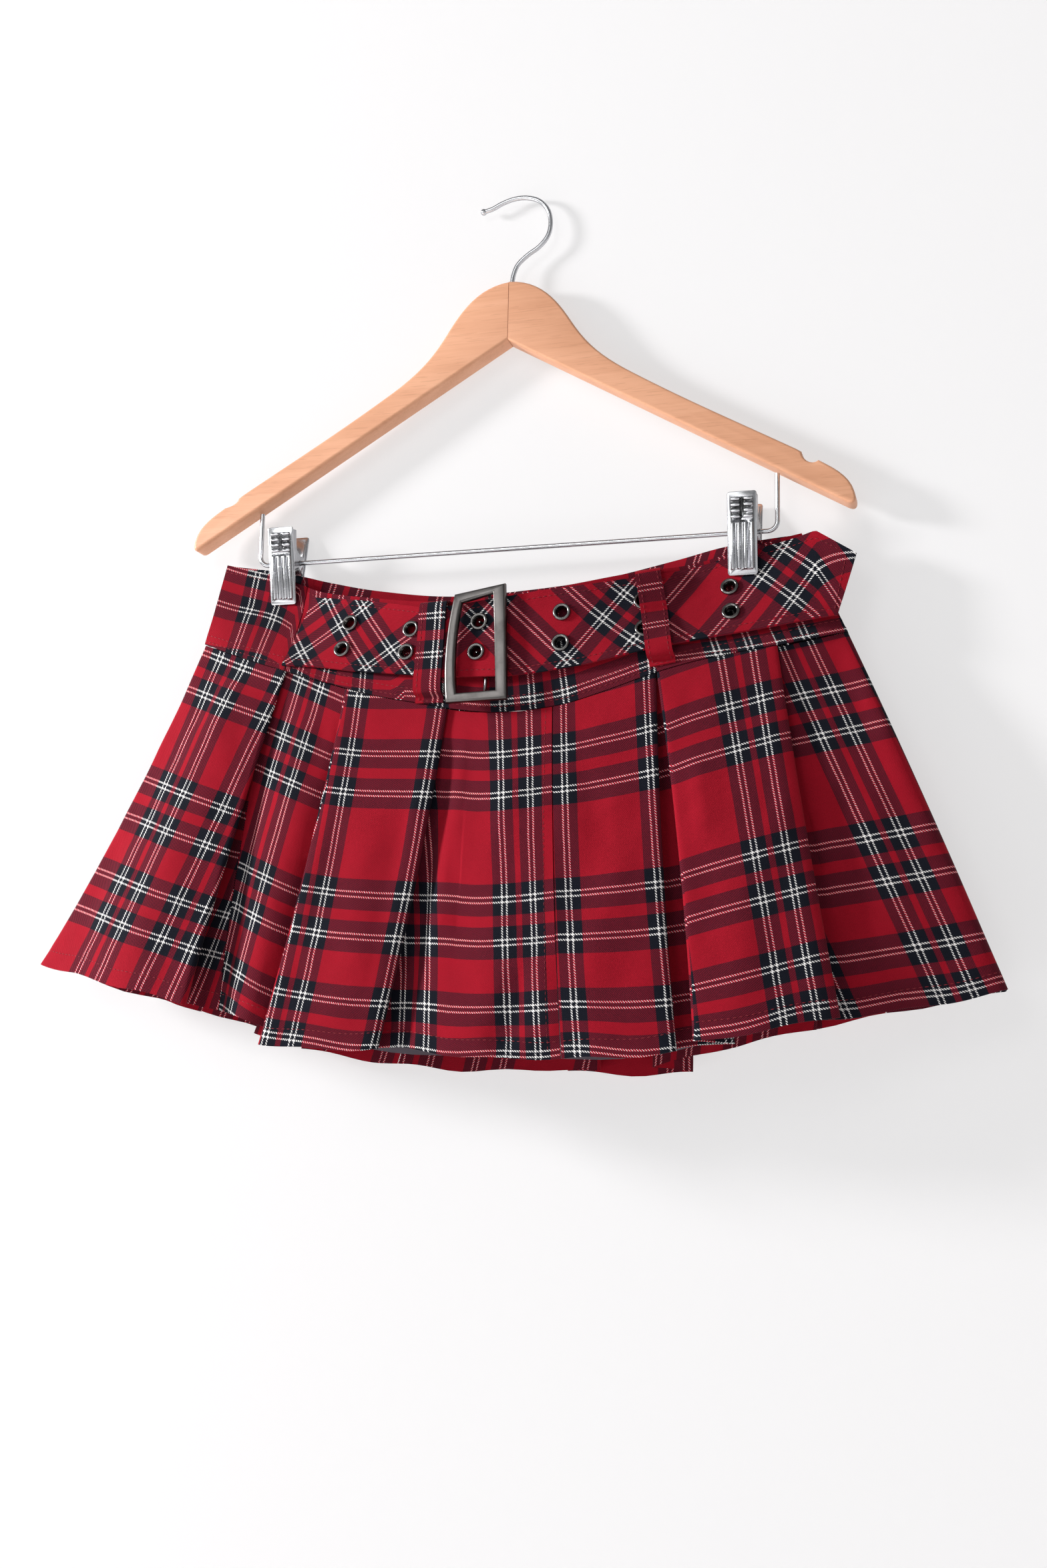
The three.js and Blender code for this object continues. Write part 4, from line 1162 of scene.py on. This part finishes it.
def belt():
    """Builds the belt with its holes and returns its sheet of points."""
    start, stop = BELT_ROWS[0]["x_top"], BELT_ROWS[-1]["x_top"]
    columns = [lerp(start, stop, k / 150) for k in range(151)]
    levels = [k / 24 for k in range(25)]
    sheet = [[belt_point(x, v) for x in columns] for v in levels]
    run = walk(sheet[12])

    def weave(step, column, left):
        s, d = run[column], levels[step] * BELT_GRAIN["width"]
        bias = math.sqrt(0.5)
        return (s - d) * bias + BELT_GRAIN["u"], (s + d) * bias + BELT_GRAIN["w"]

    bm = cloth_bmesh(sheet, weave, BELT_THICK)
    made = piece("belt_cloth", bm, TARTAN, "tartan", "belt")
    punch_holes(made)
    declare_sheet(sheet)
    return sheet


def cut_away(made, bm):
    """Takes the shape of bm away from a piece."""
    cutter = add_mesh("cutter", bm)
    cut = made.modifiers.new("cut", "BOOLEAN")
    cut.operation = "DIFFERENCE"
    cut.solver = "EXACT"
    cut.use_self = True
    cut.object = cutter
    graph = bpy.context.evaluated_depsgraph_get()
    done = bpy.data.meshes.new_from_object(made.evaluated_get(graph))
    made.modifiers.remove(cut)
    made.data = done
    bpy.data.objects.remove(cutter)


def punch_holes(made):
    """Cuts a round hole through the belt at each eyelet."""
    bm = bmesh.new()
    for eye in EYELETS:
        bmesh.ops.create_cone(
            bm, cap_ends=True, segments=24, radius1=EYELET["cut"] * MM, radius2=EYELET["cut"] * MM,
            depth=9 * MM, matrix=placed(*belt_frame(eye["x"], eye["v"])),
        )
    cut_away(made, bm)


def belt_loop(row):
    """Builds a carrier, which comes off the yoke, passes over the belt and goes back."""
    seated = CLOTH / 2 + SEAM_GAP + TRIM / 2
    over = 8.2
    path = ((0, seated), (0.012, 3), (0.026, over - 1), (0.045, over), (0.3, over), (0.55, over),
            (0.84, over), (0.9, over - 1.5), (0.945, seated), (1, seated))
    smooth_path = rounded_path([(share * 70, stand, 0) for share, stand in path], 60)
    sheet = []
    for step in smooth_path:
        share, stand = clamp(step.x / 70), step.y
        line = []
        for k in range(9):
            side = k / 8
            left = lerp(row["top_left"], row["low_left"], share)
            right = lerp(row["top_right"], row["low_right"], share)
            x = lerp(left, right, side)
            z = lerp(row["top_z"], row["low_z"], share) + row["rise"] * side
            line.append(Vector((x, yoke_y(x, z) - stand, z)))
        sheet.append(line)
    width = row["top_right"] - row["top_left"]
    drops = walk([line[4] for line in sheet])

    def weave(step, column, left):
        return row["u"] + width * column / 8, row["w"] + drops[step]

    bm = cloth_bmesh(sheet, weave, TRIM)
    made = piece(row["name"] + "_cloth", bm, TARTAN, "tartan", row["name"])
    declare_sheet(sheet)
    return sheet


def belt_tab():
    """Builds the short strap under the buckle's bar."""
    left, right = BUCKLE["bar_x"] + BUCKLE["bar_radius"] + SEAM_GAP, 34
    stand = CLOTH / 2 + SEAM_GAP + TRIM / 2 + 0.3
    sheet = []
    for step in range(9):
        z = lerp(-283, -319, step / 8)
        xs = [lerp(left, right, k / 10) for k in range(11)]
        sheet.append([Vector((x, yoke_y(x, z) - stand, z)) for x in xs])
    bm = cloth_bmesh(sheet, lambda step, column, _: (80 + 3 * column, 4.5 * step), TRIM)
    made = piece("belt_tab_cloth", bm, TARTAN, "tartan", "belt_tab")
    declare_sheet(sheet)


# ------------------------------------------------------------------ metal of the belt


def eyelet_ring(eye):
    """A rolled eyelet, spun from its half section round its own axis."""
    point, out = belt_frame(eye["x"], eye["v"])
    face = BELT_THICK / 2 + EYELET["clear"]
    hole, outer, barrel = EYELET["hole"], EYELET["outer"], EYELET["barrel"]
    crown = face + EYELET["flange"]
    half = [(hole, -crown), (outer - 0.3, -crown), (outer, -crown + 0.3), (outer, -face),
            (barrel, -face), (barrel, face), (outer, face), (outer, face + 0.35)]
    middle, reach = outer - EYELET["roll"], EYELET["roll"]
    for step in range(9):
        angle = math.pi * (0.06 + 0.94 * step / 8)
        half.append((middle + reach * math.cos(angle), face + 0.35 + reach * math.sin(angle)))
    half += [(hole + 0.25, face - 0.3), (hole, face - 0.9)]
    bm = bmesh.new()
    verts = [bm.verts.new((r * MM, 0, h * MM)) for r, h in half]
    edges = [bm.edges.new((a, b)) for a, b in zip(verts, [*verts[1:], verts[0]])]
    bmesh.ops.spin(
        bm, geom=[*verts, *edges], cent=(0, 0, 0), axis=(0, 0, 1), dvec=(0, 0, 0),
        angle=2 * math.pi, steps=36, use_merge=True,
    )
    bmesh.ops.remove_doubles(bm, verts=list(bm.verts), dist=1e-6)
    bmesh.ops.recalc_face_normals(bm, faces=list(bm.faces))
    bmesh.ops.transform(bm, matrix=placed(point, out), verts=list(bm.verts))
    piece(eye["name"] + "_ring", bm, GUNMETAL, "dark_metal", eye["name"])


def buckle_end(z):
    """Where the back of the buckle's frame is, at a height on its bar."""
    return Vector((BUCKLE["bar_x"], yoke_y(BUCKLE["bar_x"], z) - BUCKLE["back"], z))


def curve_points(a, control, b, count):
    """Points of a curve from a to b, drawn towards one control point."""
    a, control, b = (Vector((*p, 0)) for p in (a, control, b))
    steps = [k / count for k in range(1, count + 1)]
    return [a * (1 - t) ** 2 + control * 2 * t * (1 - t) + b * t * t for t in steps]


def buckle_frame():
    """The slanted frame: two rings, bridged, thickened, bevelled and leant on the yoke."""
    outer = [Vector((-23, 33, 0)), *curve_points((-23, 33), (-29.5, -2), (-24.5, -37), 14),
             Vector((14.5, -36, 0)), Vector((9.5, 38.5, 0))]
    inner = [Vector((-18, 27.5, 0)), *curve_points((-18, 27.5), (-22.5, -2), (-18, -31), 14),
             Vector((7, -30, 0)), Vector((2, 32.5, 0))]
    bm = bmesh.new()
    loops = []
    for ring in (outer, inner):
        verts = [bm.verts.new(p * MM) for p in ring]
        loops.append([bm.edges.new((a, b)) for a, b in zip(verts, [*verts[1:], verts[0]])])
    bmesh.ops.bridge_loops(bm, edges=[*loops[0], *loops[1]])
    bm.normal_update()
    faces = list(bm.faces)
    if faces[0].normal.z < 0:
        bmesh.ops.reverse_faces(bm, faces=faces)
    extrude(bm, faces, (0, 0, BUCKLE["thick"] * MM))
    bmesh.ops.recalc_face_normals(bm, faces=list(bm.faces))
    rims = [e for e in bm.edges
            if all(v.co.z > 0.5 * BUCKLE["thick"] * MM for v in e.verts)
            and e.calc_face_angle(0) > 0.9]
    bevel(bm, rims, 1.5, 3)
    top_end, low_end = buckle_end(BUCKLE["top"]), buckle_end(BUCKLE["low"])
    lean = math.atan2(top_end.y - low_end.y, top_end.z - low_end.z)
    middle = (top_end + low_end) / 2
    turn = Matrix.Rotation(-lean, 4, "X") @ Matrix.Rotation(math.pi / 2, 4, "X")
    place = Matrix.Translation(Vector((0, middle.y, middle.z)) * MM) @ turn
    bmesh.ops.transform(bm, matrix=place, verts=list(bm.verts))
    piece("buckle_frame_metal", bm, NICKEL, "nickel", "buckle_frame", hard=35)


def buckle_bar():
    """The centre bar, behind the belt, with its ends turned out to the frame."""
    ends = BUCKLE["back"] - SEAM_GAP - BUCKLE["bar_radius"]
    straight = [(z, BUCKLE["bar_stand"]) for z in (-275, -290, -305, -320, -331)]
    rows = ((-269.6, ends), (-271.5, 4.4), *straight, (-335.5, 4.4), (-338.5, ends))
    x = BUCKLE["bar_x"]
    points = rounded_path([(x, yoke_y(x, z) - stand, z) for z, stand in rows], 40)
    bm = sweep(points, BUCKLE["bar_radius"] - 0.02, 16)
    piece("buckle_bar_metal", bm, STEEL, "nickel", "buckle_bar")


def prong(name, eye):
    """A prong from the bar out through an eyelet."""
    point, out = belt_frame(eye["x"], eye["v"])
    reach, inside = point + out * 0.5 + Vector((0.9, 0, -0.4)), point - out * 2.4
    side = math.copysign(1, point.x - BUCKLE["bar_x"])
    start = BUCKLE["bar_x"] + side * (BUCKLE["bar_radius"] + SEAM_GAP + 0.1)
    root = Vector((start, yoke_y(start, inside.z) - BUCKLE["bar_stand"], inside.z))
    points = rounded_path([root, inside.lerp(root, 0.3), point, reach], 18)
    piece(name + "_metal", sweep(points, 0.88, 12), GUNMETAL, "nickel", name)


# ------------------------------------------------------------------ inner shorts

SHORTS_TOP = dict(left=-190, right=196, front=6.2, back=5.6)
SHORTS_HEM = dict(left=-232, right=236, front=28, back=22, z=-553, side_z=-518)
SHORTS = dict(middle=18, crotch=0.68, inseam=7, side_taper=0.55, rows=28)


def shorts_leg(name, side):
    """One leg of the shorts, as a sheet wrapped round it from the inseam and back."""
    shares = [0, 0.025, 0.05, 0.1, 0.16, 0.22, 0.28, 0.34, 0.41, 0.48, 0.55, 0.62, 0.69, 0.76, 0.84,
              0.92, 0.96, 1]
    stations = [(s, False) for s in shares] + [(s, True) for s in reversed(shares)]
    if side < 0:
        stations.reverse()
    sheet = []
    edge_key = "right" if side > 0 else "left"
    for step in range(SHORTS["rows"] + 1):
        v = step / SHORTS["rows"]
        parted = smooth((v - SHORTS["crotch"] + 0.16) / 0.16)
        line = []
        for share, is_back in stations:
            edge = lerp(SHORTS_TOP[edge_key], SHORTS_HEM[edge_key], v)
            start = SHORTS["middle"] + side * (SEAM_GAP + parted * lerp(1, SHORTS["inseam"], v))
            x = lerp(start, edge, share)
            left = lerp(SEAM_EDGE["left"], FOLDS[0]["x_hem"], v)
            right = lerp(SEAM_EDGE["right"], FOLDS[-1]["x_hem"], v)
            t = (x - left) / (right - left)
            front = base_y(t, v, False) + lerp(SHORTS_TOP["front"], SHORTS_HEM["front"], v)
            back = base_y(t, v, True) - lerp(SHORTS_TOP["back"], SHORTS_HEM["back"], v)
            back = max(back, front + 2.6)
            inseam = 1 - parted * (1 - smooth(share / 0.16))
            taper = 1 - SHORTS["side_taper"] * smooth((share - 0.76) / 0.24)
            half = max((back - front) / 2 * inseam * taper, CLOTH / 2 + SEAM_GAP + 0.15)
            drop = lerp(SHORTS_HEM["z"], SHORTS_HEM["side_z"], smooth((share - 0.2) / 0.8))
            top = min(seam_z(x, False), seam_z(x, True)) - 2
            y = (front + back) / 2 + (half if is_back else -half)
            line.append(Vector((x, y, lerp(top, drop, v))))
        sheet.append(line)

    def weave(step, column, left):
        return column * 12.0, step * 8.0

    bm = cloth_bmesh(sheet, weave, CLOTH)
    made = piece(name + "_cloth", bm, JERSEY, "shorts_cloth", name)
    declare_sheet(sheet)


# ------------------------------------------------------------------ hanger


def bezier(a, b, c, d, count):
    """Points of a curve from a to d, drawn towards two control points."""
    a, b, c, d = (Vector((*p, 0)) for p in (a, b, c, d))
    steps = [k / count for k in range(1, count + 1)]
    return [
        a * (1 - t) ** 3 + b * 3 * t * (1 - t) ** 2 + c * 3 * t * t * (1 - t) + d * t ** 3
        for t in steps
    ]


def hanger_arm(name, side, notch, material):
    """One wooden arm, from its outline: lower edge, end, notch and upper edge."""
    def low(x):
        return WOOD["apex"] - WOOD["slope"] * x

    length = WOOD["length"]
    start = SEAM_GAP / 2
    line = [Vector((start, low(start), 0)), Vector((length - 7, low(length - 7), 0))]
    line += bezier((length - 7, low(length - 7)), (length - 1, low(length)), (length + 1, -223),
                   (218, -216.5), 8)
    line += bezier((218, -216.5), (216, -209), (210, -203.5), (201, -198), 6)
    line += [Vector((197, -195.5, 0))]
    line += bezier((197, -195.5), (195, -194 - notch), (188, -193 - notch), (187, -189.5), 8)
    line += [Vector((184, -187.5, 0))]
    line += bezier((184, -187.5), (150, -168), (120, -152), (84, -129.5), 14)
    line += bezier((84, -129.5), (62, -116), (52, -106), (42, -90), 10)
    line += bezier((42, -90), (32, -74), (21, -60), (start, WOOD["rise"]), 12)
    bm = bmesh.new()
    verts = [bm.verts.new(Vector((p.x * side, 0, p.y)) * MM) for p in line]
    face = bm.faces.new(verts)
    bm.normal_update()
    half = WOOD["thick"] / 2 * MM
    bmesh.ops.translate(bm, vec=(0, -half, 0), verts=verts)
    extrude(bm, [face], (0, 2 * half, 0))
    bmesh.ops.recalc_face_normals(bm, faces=list(bm.faces))
    joint = abs(start * MM) + 1e-6
    rims = [
        e for e in bm.edges
        if abs(e.verts[0].co.y - e.verts[1].co.y) < 1e-7
        and e.calc_face_angle(0) > 0.9
        and max(abs(v.co.x) for v in e.verts) > joint
    ]
    bevel(bm, rims, 2.6, 4)
    piece(name + "_wood", bm, material, "wood", name, hard=40)


def hanger_hook():
    """The hook's bent wire, with the ball at its end."""
    rows = ((0, WOOD["rise"] + SEAM_GAP), (0.8, -52), (3.5, -45), (10, -39), (18.5, -33.5),
            (24, -26.5), (25.5, -18), (23.5, -9), (17.5, -2), (9, 1.3), (0, WIRE["radius"]),
            (-8, -0.6), (-14.5, -3.4), (-20, -4.6))
    points = rounded_path([(x, 0, z) for x, z in rows], 90)
    bm = sweep(points, WIRE["radius"], 16)
    bmesh.ops.create_uvsphere(bm, u_segments=20, v_segments=12, radius=2.1 * MM,
                              matrix=Matrix.Translation(Vector((-20.5, 0, -4.7)) * MM))
    piece("hanger_hook_wire", bm, STEEL, "steel", "hanger_hook")


def riser(name, side):
    """The wire from an arm down to the clip bar, round one bend."""
    top = WOOD["apex"] - WOOD["slope"] * WIRE["riser_x"] - SEAM_GAP - 1.2
    x, z, bend = WIRE["riser_x"], WIRE["bar_z"], WIRE["bend"]
    corner = [(x - bend * (1 - math.cos(a)), z + bend * (1 - math.sin(a)))
              for a in (math.pi / 2 * k / 10 for k in range(11))]
    line = [(x, top), (x, z + bend + 12), *corner, (CLIP["x"] + CLIP["width"] / 2 + 1, z)]
    bm = sweep([(side * px, 0, pz) for px, pz in line], WIRE["radius"], 16)
    piece(name + "_wire", bm, STEEL, "steel", name)


def clip_bar():
    reach = CLIP["x"] + CLIP["width"] / 2 + 1 - SEAM_GAP
    bm = sweep([(-reach, 0, WIRE["bar_z"]), (reach, 0, WIRE["bar_z"])], WIRE["radius"], 16)
    piece("hanger_clip_bar_wire", bm, STEEL, "steel", "hanger_clip_bar")


def capsule(bm, centre, length, radius, across):
    """A short rod with round ends, upright or lying across."""
    made = bmesh.ops.create_uvsphere(bm, u_segments=14, v_segments=9, radius=radius * MM)["verts"]
    for vert in made:
        vert.co.z += math.copysign((length / 2 - radius) * MM, vert.co.z)
    turn = Matrix.Rotation(math.pi / 2 if across else 0.0, 4, "Y")
    place = Matrix.Translation(Vector(centre) * MM) @ turn
    bmesh.ops.transform(bm, matrix=place, verts=made)


def rounded_plate(width, thick, height, corner, rim):
    """A plate with rounded corners and softened rims, in millimetres."""
    bm = bmesh.new()
    bmesh.ops.create_cube(bm, size=MM, matrix=Matrix.Diagonal((width, thick, height, 1)))
    corners = [e for e in bm.edges if abs(e.verts[0].co.y - e.verts[1].co.y) > 1e-6]
    bevel(bm, corners, corner, 4)
    rims = [e for e in bm.edges if abs(e.verts[0].co.y - e.verts[1].co.y) < 1e-7]
    bevel(bm, rims, rim, 2)
    return bm


def clip_jaw(name, x, side, hold):
    """A pressed jaw: a leaning plate with ribs, and two lugs that the bar passes through."""
    height = CLIP["top"] - CLIP["bottom"]
    lean = math.atan2(CLIP["spread"] - hold, height)
    bm = rounded_plate(CLIP["width"], CLIP["plate"], height, 1.8, 0.45)
    face = side * CLIP["plate"] / 2
    for row in range(CLIP_RIB["rows"]):
        level = height / 2 - 4.5 - row * CLIP_RIB["pitch"]
        for column in (-1, 1):
            across = column * CLIP_RIB["beside"]
            capsule(bm, (across, face, level), CLIP_RIB["short"], CLIP_RIB["radius"], True)
    for column in range(CLIP_RIB["columns"]):
        across = (column - (CLIP_RIB["columns"] - 1) / 2) * CLIP_RIB["apart"]
        level = CLIP_RIB["long"] / 2 + 3.5 - height / 2
        capsule(bm, (across, face, level), CLIP_RIB["long"], CLIP_RIB["radius"], False)
    pivot = WIRE["bar_z"] - (CLIP["top"] + CLIP["bottom"]) / 2
    depth = (CLIP["spread"] + hold) / 2 + CLIP_LUG["deep"]
    lug_x = CLIP["width"] / 2 - CLIP_LUG["inset"] - (0 if side < 0 else CLIP_LUG["step"])
    flange = CLIP_LUG["flange"] if side < 0 else 0.0
    cheek = [(pivot - 6, 0), (pivot - 3, depth), (pivot + 3, depth), (pivot + 7, max(2.0, flange)),
             (height / 2 - 2, flange + 0.6), (height / 2 - 2, 0)]
    for column in (-1, 1):
        verts = [bm.verts.new(Vector((column * lug_x - 0.5, -side * y, z)) * MM) for z, y in cheek]
        extrude(bm, [bm.faces.new(verts)], (MM, 0, 0))
    bmesh.ops.recalc_face_normals(bm, faces=list(bm.faces))
    middle = Vector((x, side * (CLIP["spread"] + hold) / 2, (CLIP["top"] + CLIP["bottom"]) / 2))
    place = Matrix.Translation(middle * MM) @ Matrix.Rotation(-side * lean, 4, "X")
    bmesh.ops.transform(bm, matrix=place, verts=list(bm.verts))
    made = piece(name + "_steel", bm, STEEL, "steel", name, hard=40)
    drill = bmesh.new()
    turn = Matrix.Rotation(math.pi / 2, 4, "Y")
    bmesh.ops.create_cone(
        drill, cap_ends=True, segments=20, radius1=CLIP_LUG["hole"] * MM,
        radius2=CLIP_LUG["hole"] * MM, depth=40 * MM,
        matrix=Matrix.Translation(Vector((x, 0, WIRE["bar_z"])) * MM) @ turn,
    )
    cut_away(made, drill)


def clip_spring(name, x):
    """A coil round the clip bar, between the jaws."""
    turns, reach, coil = 6.5, 4.9, 3.1
    count = int(turns * 18)
    points = [
        (x + lerp(-reach, reach, k / count),
         coil * math.sin(2 * math.pi * turns * k / count),
         WIRE["bar_z"] + coil * math.cos(2 * math.pi * turns * k / count))
        for k in range(count + 1)
    ]
    piece(name + "_coil", sweep(points, 0.62, 8), GUNMETAL, "dark_metal", name)


# ------------------------------------------------------------------ sewing


def stitch_row(bm, points, outs, radius):
    """Small thread loops laid along a line of points, each just proud of the cloth."""
    run = walk(points)

    def at(distance):
        k = 0
        while k < len(run) - 2 and run[k + 1] < distance:
            k += 1
        t = clamp((distance - run[k]) / max(1e-6, run[k + 1] - run[k]))
        return points[k].lerp(points[k + 1], t), outs[k].lerp(outs[k + 1], t).normalized()

    place = 1.0
    while place + STITCH["long"] < run[-1]:
        (a, out_a), (b, _) = at(place), at(place + STITCH["long"])
        way = b - a
        if way.length < 1.6 * STITCH["long"]:
            centre = (a + b) / 2 + out_a * (radius * 0.4)
            scale = Matrix.Diagonal((way.length / 2, radius * 1.15, radius, 1))
            bmesh.ops.create_icosphere(
                bm, subdivisions=1, radius=MM, matrix=placed(centre, way, "X", "Z") @ scale
            )
        uneven = random.uniform(-STITCH["uneven"], STITCH["uneven"])
        place += STITCH["long"] + STITCH["gap"] + uneven


def sheet_line(sheet, places, thick):
    """Points and outward ways on the face of a sheet at places of (row, column)."""
    points, outs = [], []
    down, across = len(sheet), len(sheet[0])
    for row, column in places:
        r, c = int(min(down - 2, row)), int(min(across - 2, column))
        fr, fc = row - r, column - c
        upper = sheet[r][c].lerp(sheet[r][c + 1], fc)
        lower = sheet[r + 1][c].lerp(sheet[r + 1][c + 1], fc)
        out = (lower - upper).cross(sheet[r][c + 1] - sheet[r][c]).normalized()
        points.append(upper.lerp(lower, fr) + out * (thick / 2))
        outs.append(out)
    return points, outs


def across_sheet(row, columns, radius=THREAD):
    return [(row, column) for column in columns], radius


def down_sheet(rows, column, radius=THREAD):
    return [(row, column) for row in rows], radius


def stitches(name, sheet, lines, thick=CLOTH):
    """Sews lines of stitches on a sheet."""
    thread = bmesh.new()
    for places, radius in lines:
        stitch_row(thread, *sheet_line(sheet, places, thick), radius)
    piece(name + "_stitches", thread, RED_THREAD, "tartan")


# ------------------------------------------------------------------ making it

skirts = {row["name"]: skirt_panel(row) for row in PANELS}
front_yoke = yoke_panel(
    "front_yoke",
    yoke_columns((SIDE_FRONT + SIDE_GAP, 1, False), (1, SIDE_BACK + SIDE_GAP, True)),
)
back_yoke = yoke_panel(
    "back_yoke",
    yoke_columns((SIDE_BACK - SIDE_GAP, 0, True), (0, SIDE_FRONT - SIDE_GAP, False)),
)
belt_sheet = belt()
loop_sheets = [belt_loop(row) for row in LOOPS]
belt_tab()
for eyelet in EYELETS:
    eyelet_ring(eyelet)
buckle_frame()
buckle_bar()
prong("buckle_prong_upper", EYELETS[4])
prong("buckle_prong_lower", EYELETS[5])
shorts_leg("shorts_left", -1)
shorts_leg("shorts_right", 1)
hanger_arm("hanger_arm_left", -1, 1, WOOD_LEFT)
hanger_arm("hanger_arm_right", 1, 4, WOOD_RIGHT)
hanger_hook()
riser("hanger_wire_left", -1)
riser("hanger_wire_right", 1)
clip_bar()
for word, side in (("left", -1), ("right", 1)):
    clip_jaw(f"clip_{word}_front", side * CLIP["x"], -1, CLIP["hold_" + word])
    clip_jaw(f"clip_{word}_back", side * CLIP["x"], 1, CLIP["hold_left"])
    clip_spring(f"clip_{word}_spring", side * CLIP["x"])

for name, sheet in skirts.items():
    columns = len(sheet[0])
    lines = [across_sheet(PANEL_ROWS * (1 - HEM_STITCH / PANEL_DROP), range(columns))]
    if name == "front_skirt_left":
        lines.append(down_sheet(range(PANEL_ROWS), columns - 2.1, FINE_THREAD))
    stitches(name, sheet, lines)
for name, sheet in (("front_yoke", front_yoke), ("back_yoke", back_yoke)):
    rows = (1.4, YOKE_ROWS - 2.2, YOKE_ROWS - 0.75)
    stitches(name, sheet, [across_sheet(row, range(len(sheet[0]))) for row in rows])
edges = [across_sheet(row, range(2, 148)) for row in (2.0, 22.0)]
stitches("belt", belt_sheet, [*edges, down_sheet(range(2, 23), 147.8)], BELT_THICK)
for row, sheet in zip(LOOPS, loop_sheets):
    sides = [down_sheet(range(2, 58), column) for column in (1.1, 6.9)]
    ends = [across_sheet(level, range(1, 8)) for level in (2.4, 57.2)]
    stitches(row["name"], sheet, [*sides, *ends], TRIM)

# ------------------------------------------------------------------ stage, light and camera


def stage_plane(name, points, colour, facing, glow=0.0):
    """A plane of the room. One that glows is open from behind, to look at the garment's back."""
    bm = bmesh.new()
    bmesh.ops.create_grid(bm, x_segments=1, y_segments=1, size=1.0)
    bm.verts.ensure_lookup_table()
    for vert, place in zip(bm.verts, points):
        vert.co = place
    bm.normal_update()
    if bm.faces[:][0].normal.dot(Vector(facing)) < 0:
        bmesh.ops.reverse_faces(bm, faces=list(bm.faces))
    made = add_mesh(name, bm)
    finish = Finish(name + "_paint")
    finish.set(Base_Color=colour, Roughness=0.9)
    if glow:
        finish.set(Emission_Color=(1, 1, 1), Emission_Strength=glow)
        behind = finish.node("ShaderNodeNewGeometry", output=6)
        clear = finish.node("ShaderNodeBsdfTransparent")
        paint = Thread(finish, finish.shader.outputs[0])
        blend = finish.node("ShaderNodeMixShader", {}, {0: behind, 1: paint, 2: clear})
        finish.join(finish.tree.nodes["Material Output"].inputs["Surface"], blend)
    made.data.materials.append(finish.material)


# The wall leans back a little, to stay close behind the hanger and clear of the hem.
WALL_LOW, WALL_HIGH, FLOOR_Z, ROOM_HIGH, REACH = 0.062, -0.115, -1.15, 2.5, 4.0
stage_plane("pale_wall", [(-REACH, WALL_LOW, FLOOR_Z), (REACH, WALL_LOW, FLOOR_Z),
                          (-REACH, WALL_HIGH, ROOM_HIGH), (REACH, WALL_HIGH, ROOM_HIGH)],
            (0.34, 0.33, 0.335), (0, -1, 0), glow=0.58)
stage_plane("pale_floor", [(-REACH, -REACH, FLOOR_Z), (REACH, -REACH, FLOOR_Z),
                           (-REACH, REACH, FLOOR_Z), (REACH, REACH, FLOOR_Z)], (0.82, 0.81, 0.81),
            (0, 0, 1))


def soft_light(name, place, size, power):
    """A round lamp that faces the middle of the garment, with its power in watts."""
    lamp = bpy.data.lights.new(name, "AREA")
    lamp.shape = "DISK"
    lamp.size = size
    lamp.energy = power
    made = add_object(name, lamp)
    made.location = place
    way = Vector((0, 0, -0.4)) - Vector(place)
    made.rotation_mode = "QUATERNION"
    made.rotation_quaternion = way.to_track_quat("-Z", "Y")


soft_light("key_window", (-2.75, -1.15, 0.4), 0.5, 122)
soft_light("front_window", (-0.8, -2.6, 0.7), 1.2, 13)
soft_light("fill_panel", (1.3, -2.4, -0.2), 1.8, 3)
soft_light("back_panel", (0.4, 2.4, 0.3), 2.2, 115)
world = bpy.data.worlds.new("pale_room")
world.use_nodes = True
world.node_tree.nodes["Background"].inputs[0].default_value = (1, 1, 1, 1)
world.node_tree.nodes["Background"].inputs[1].default_value = 0.18
bpy.context.scene.world = world
bpy.context.scene.view_settings.view_transform = "Standard"

# The camera looks up a little from the right; its focal length is a share of its sensor.
YAW, PITCH, ROLL = (math.radians(angle) for angle in (17.0, 8.2, 1.1))
SENSOR, FOCAL_SHARE = 36, 2380 / 2349
sight = Vector((-math.sin(YAW) * math.cos(PITCH), math.cos(YAW) * math.cos(PITCH), math.sin(PITCH)))
level = sight.cross(Vector((0, 0, 1))).normalized()
upright = level.cross(sight)
right = level * math.cos(ROLL) + upright * math.sin(ROLL)
up = upright * math.cos(ROLL) - level * math.sin(ROLL)
lens = bpy.data.cameras.new("camera")
lens.sensor_width = SENSOR
lens.lens = FOCAL_SHARE * SENSOR
camera = add_object("camera", lens)
camera.matrix_world = Matrix.Translation((0.299, -0.931, -0.527)) @ Matrix(
    (right, up, -sight)
).transposed().to_4x4()
bpy.context.scene.camera = camera
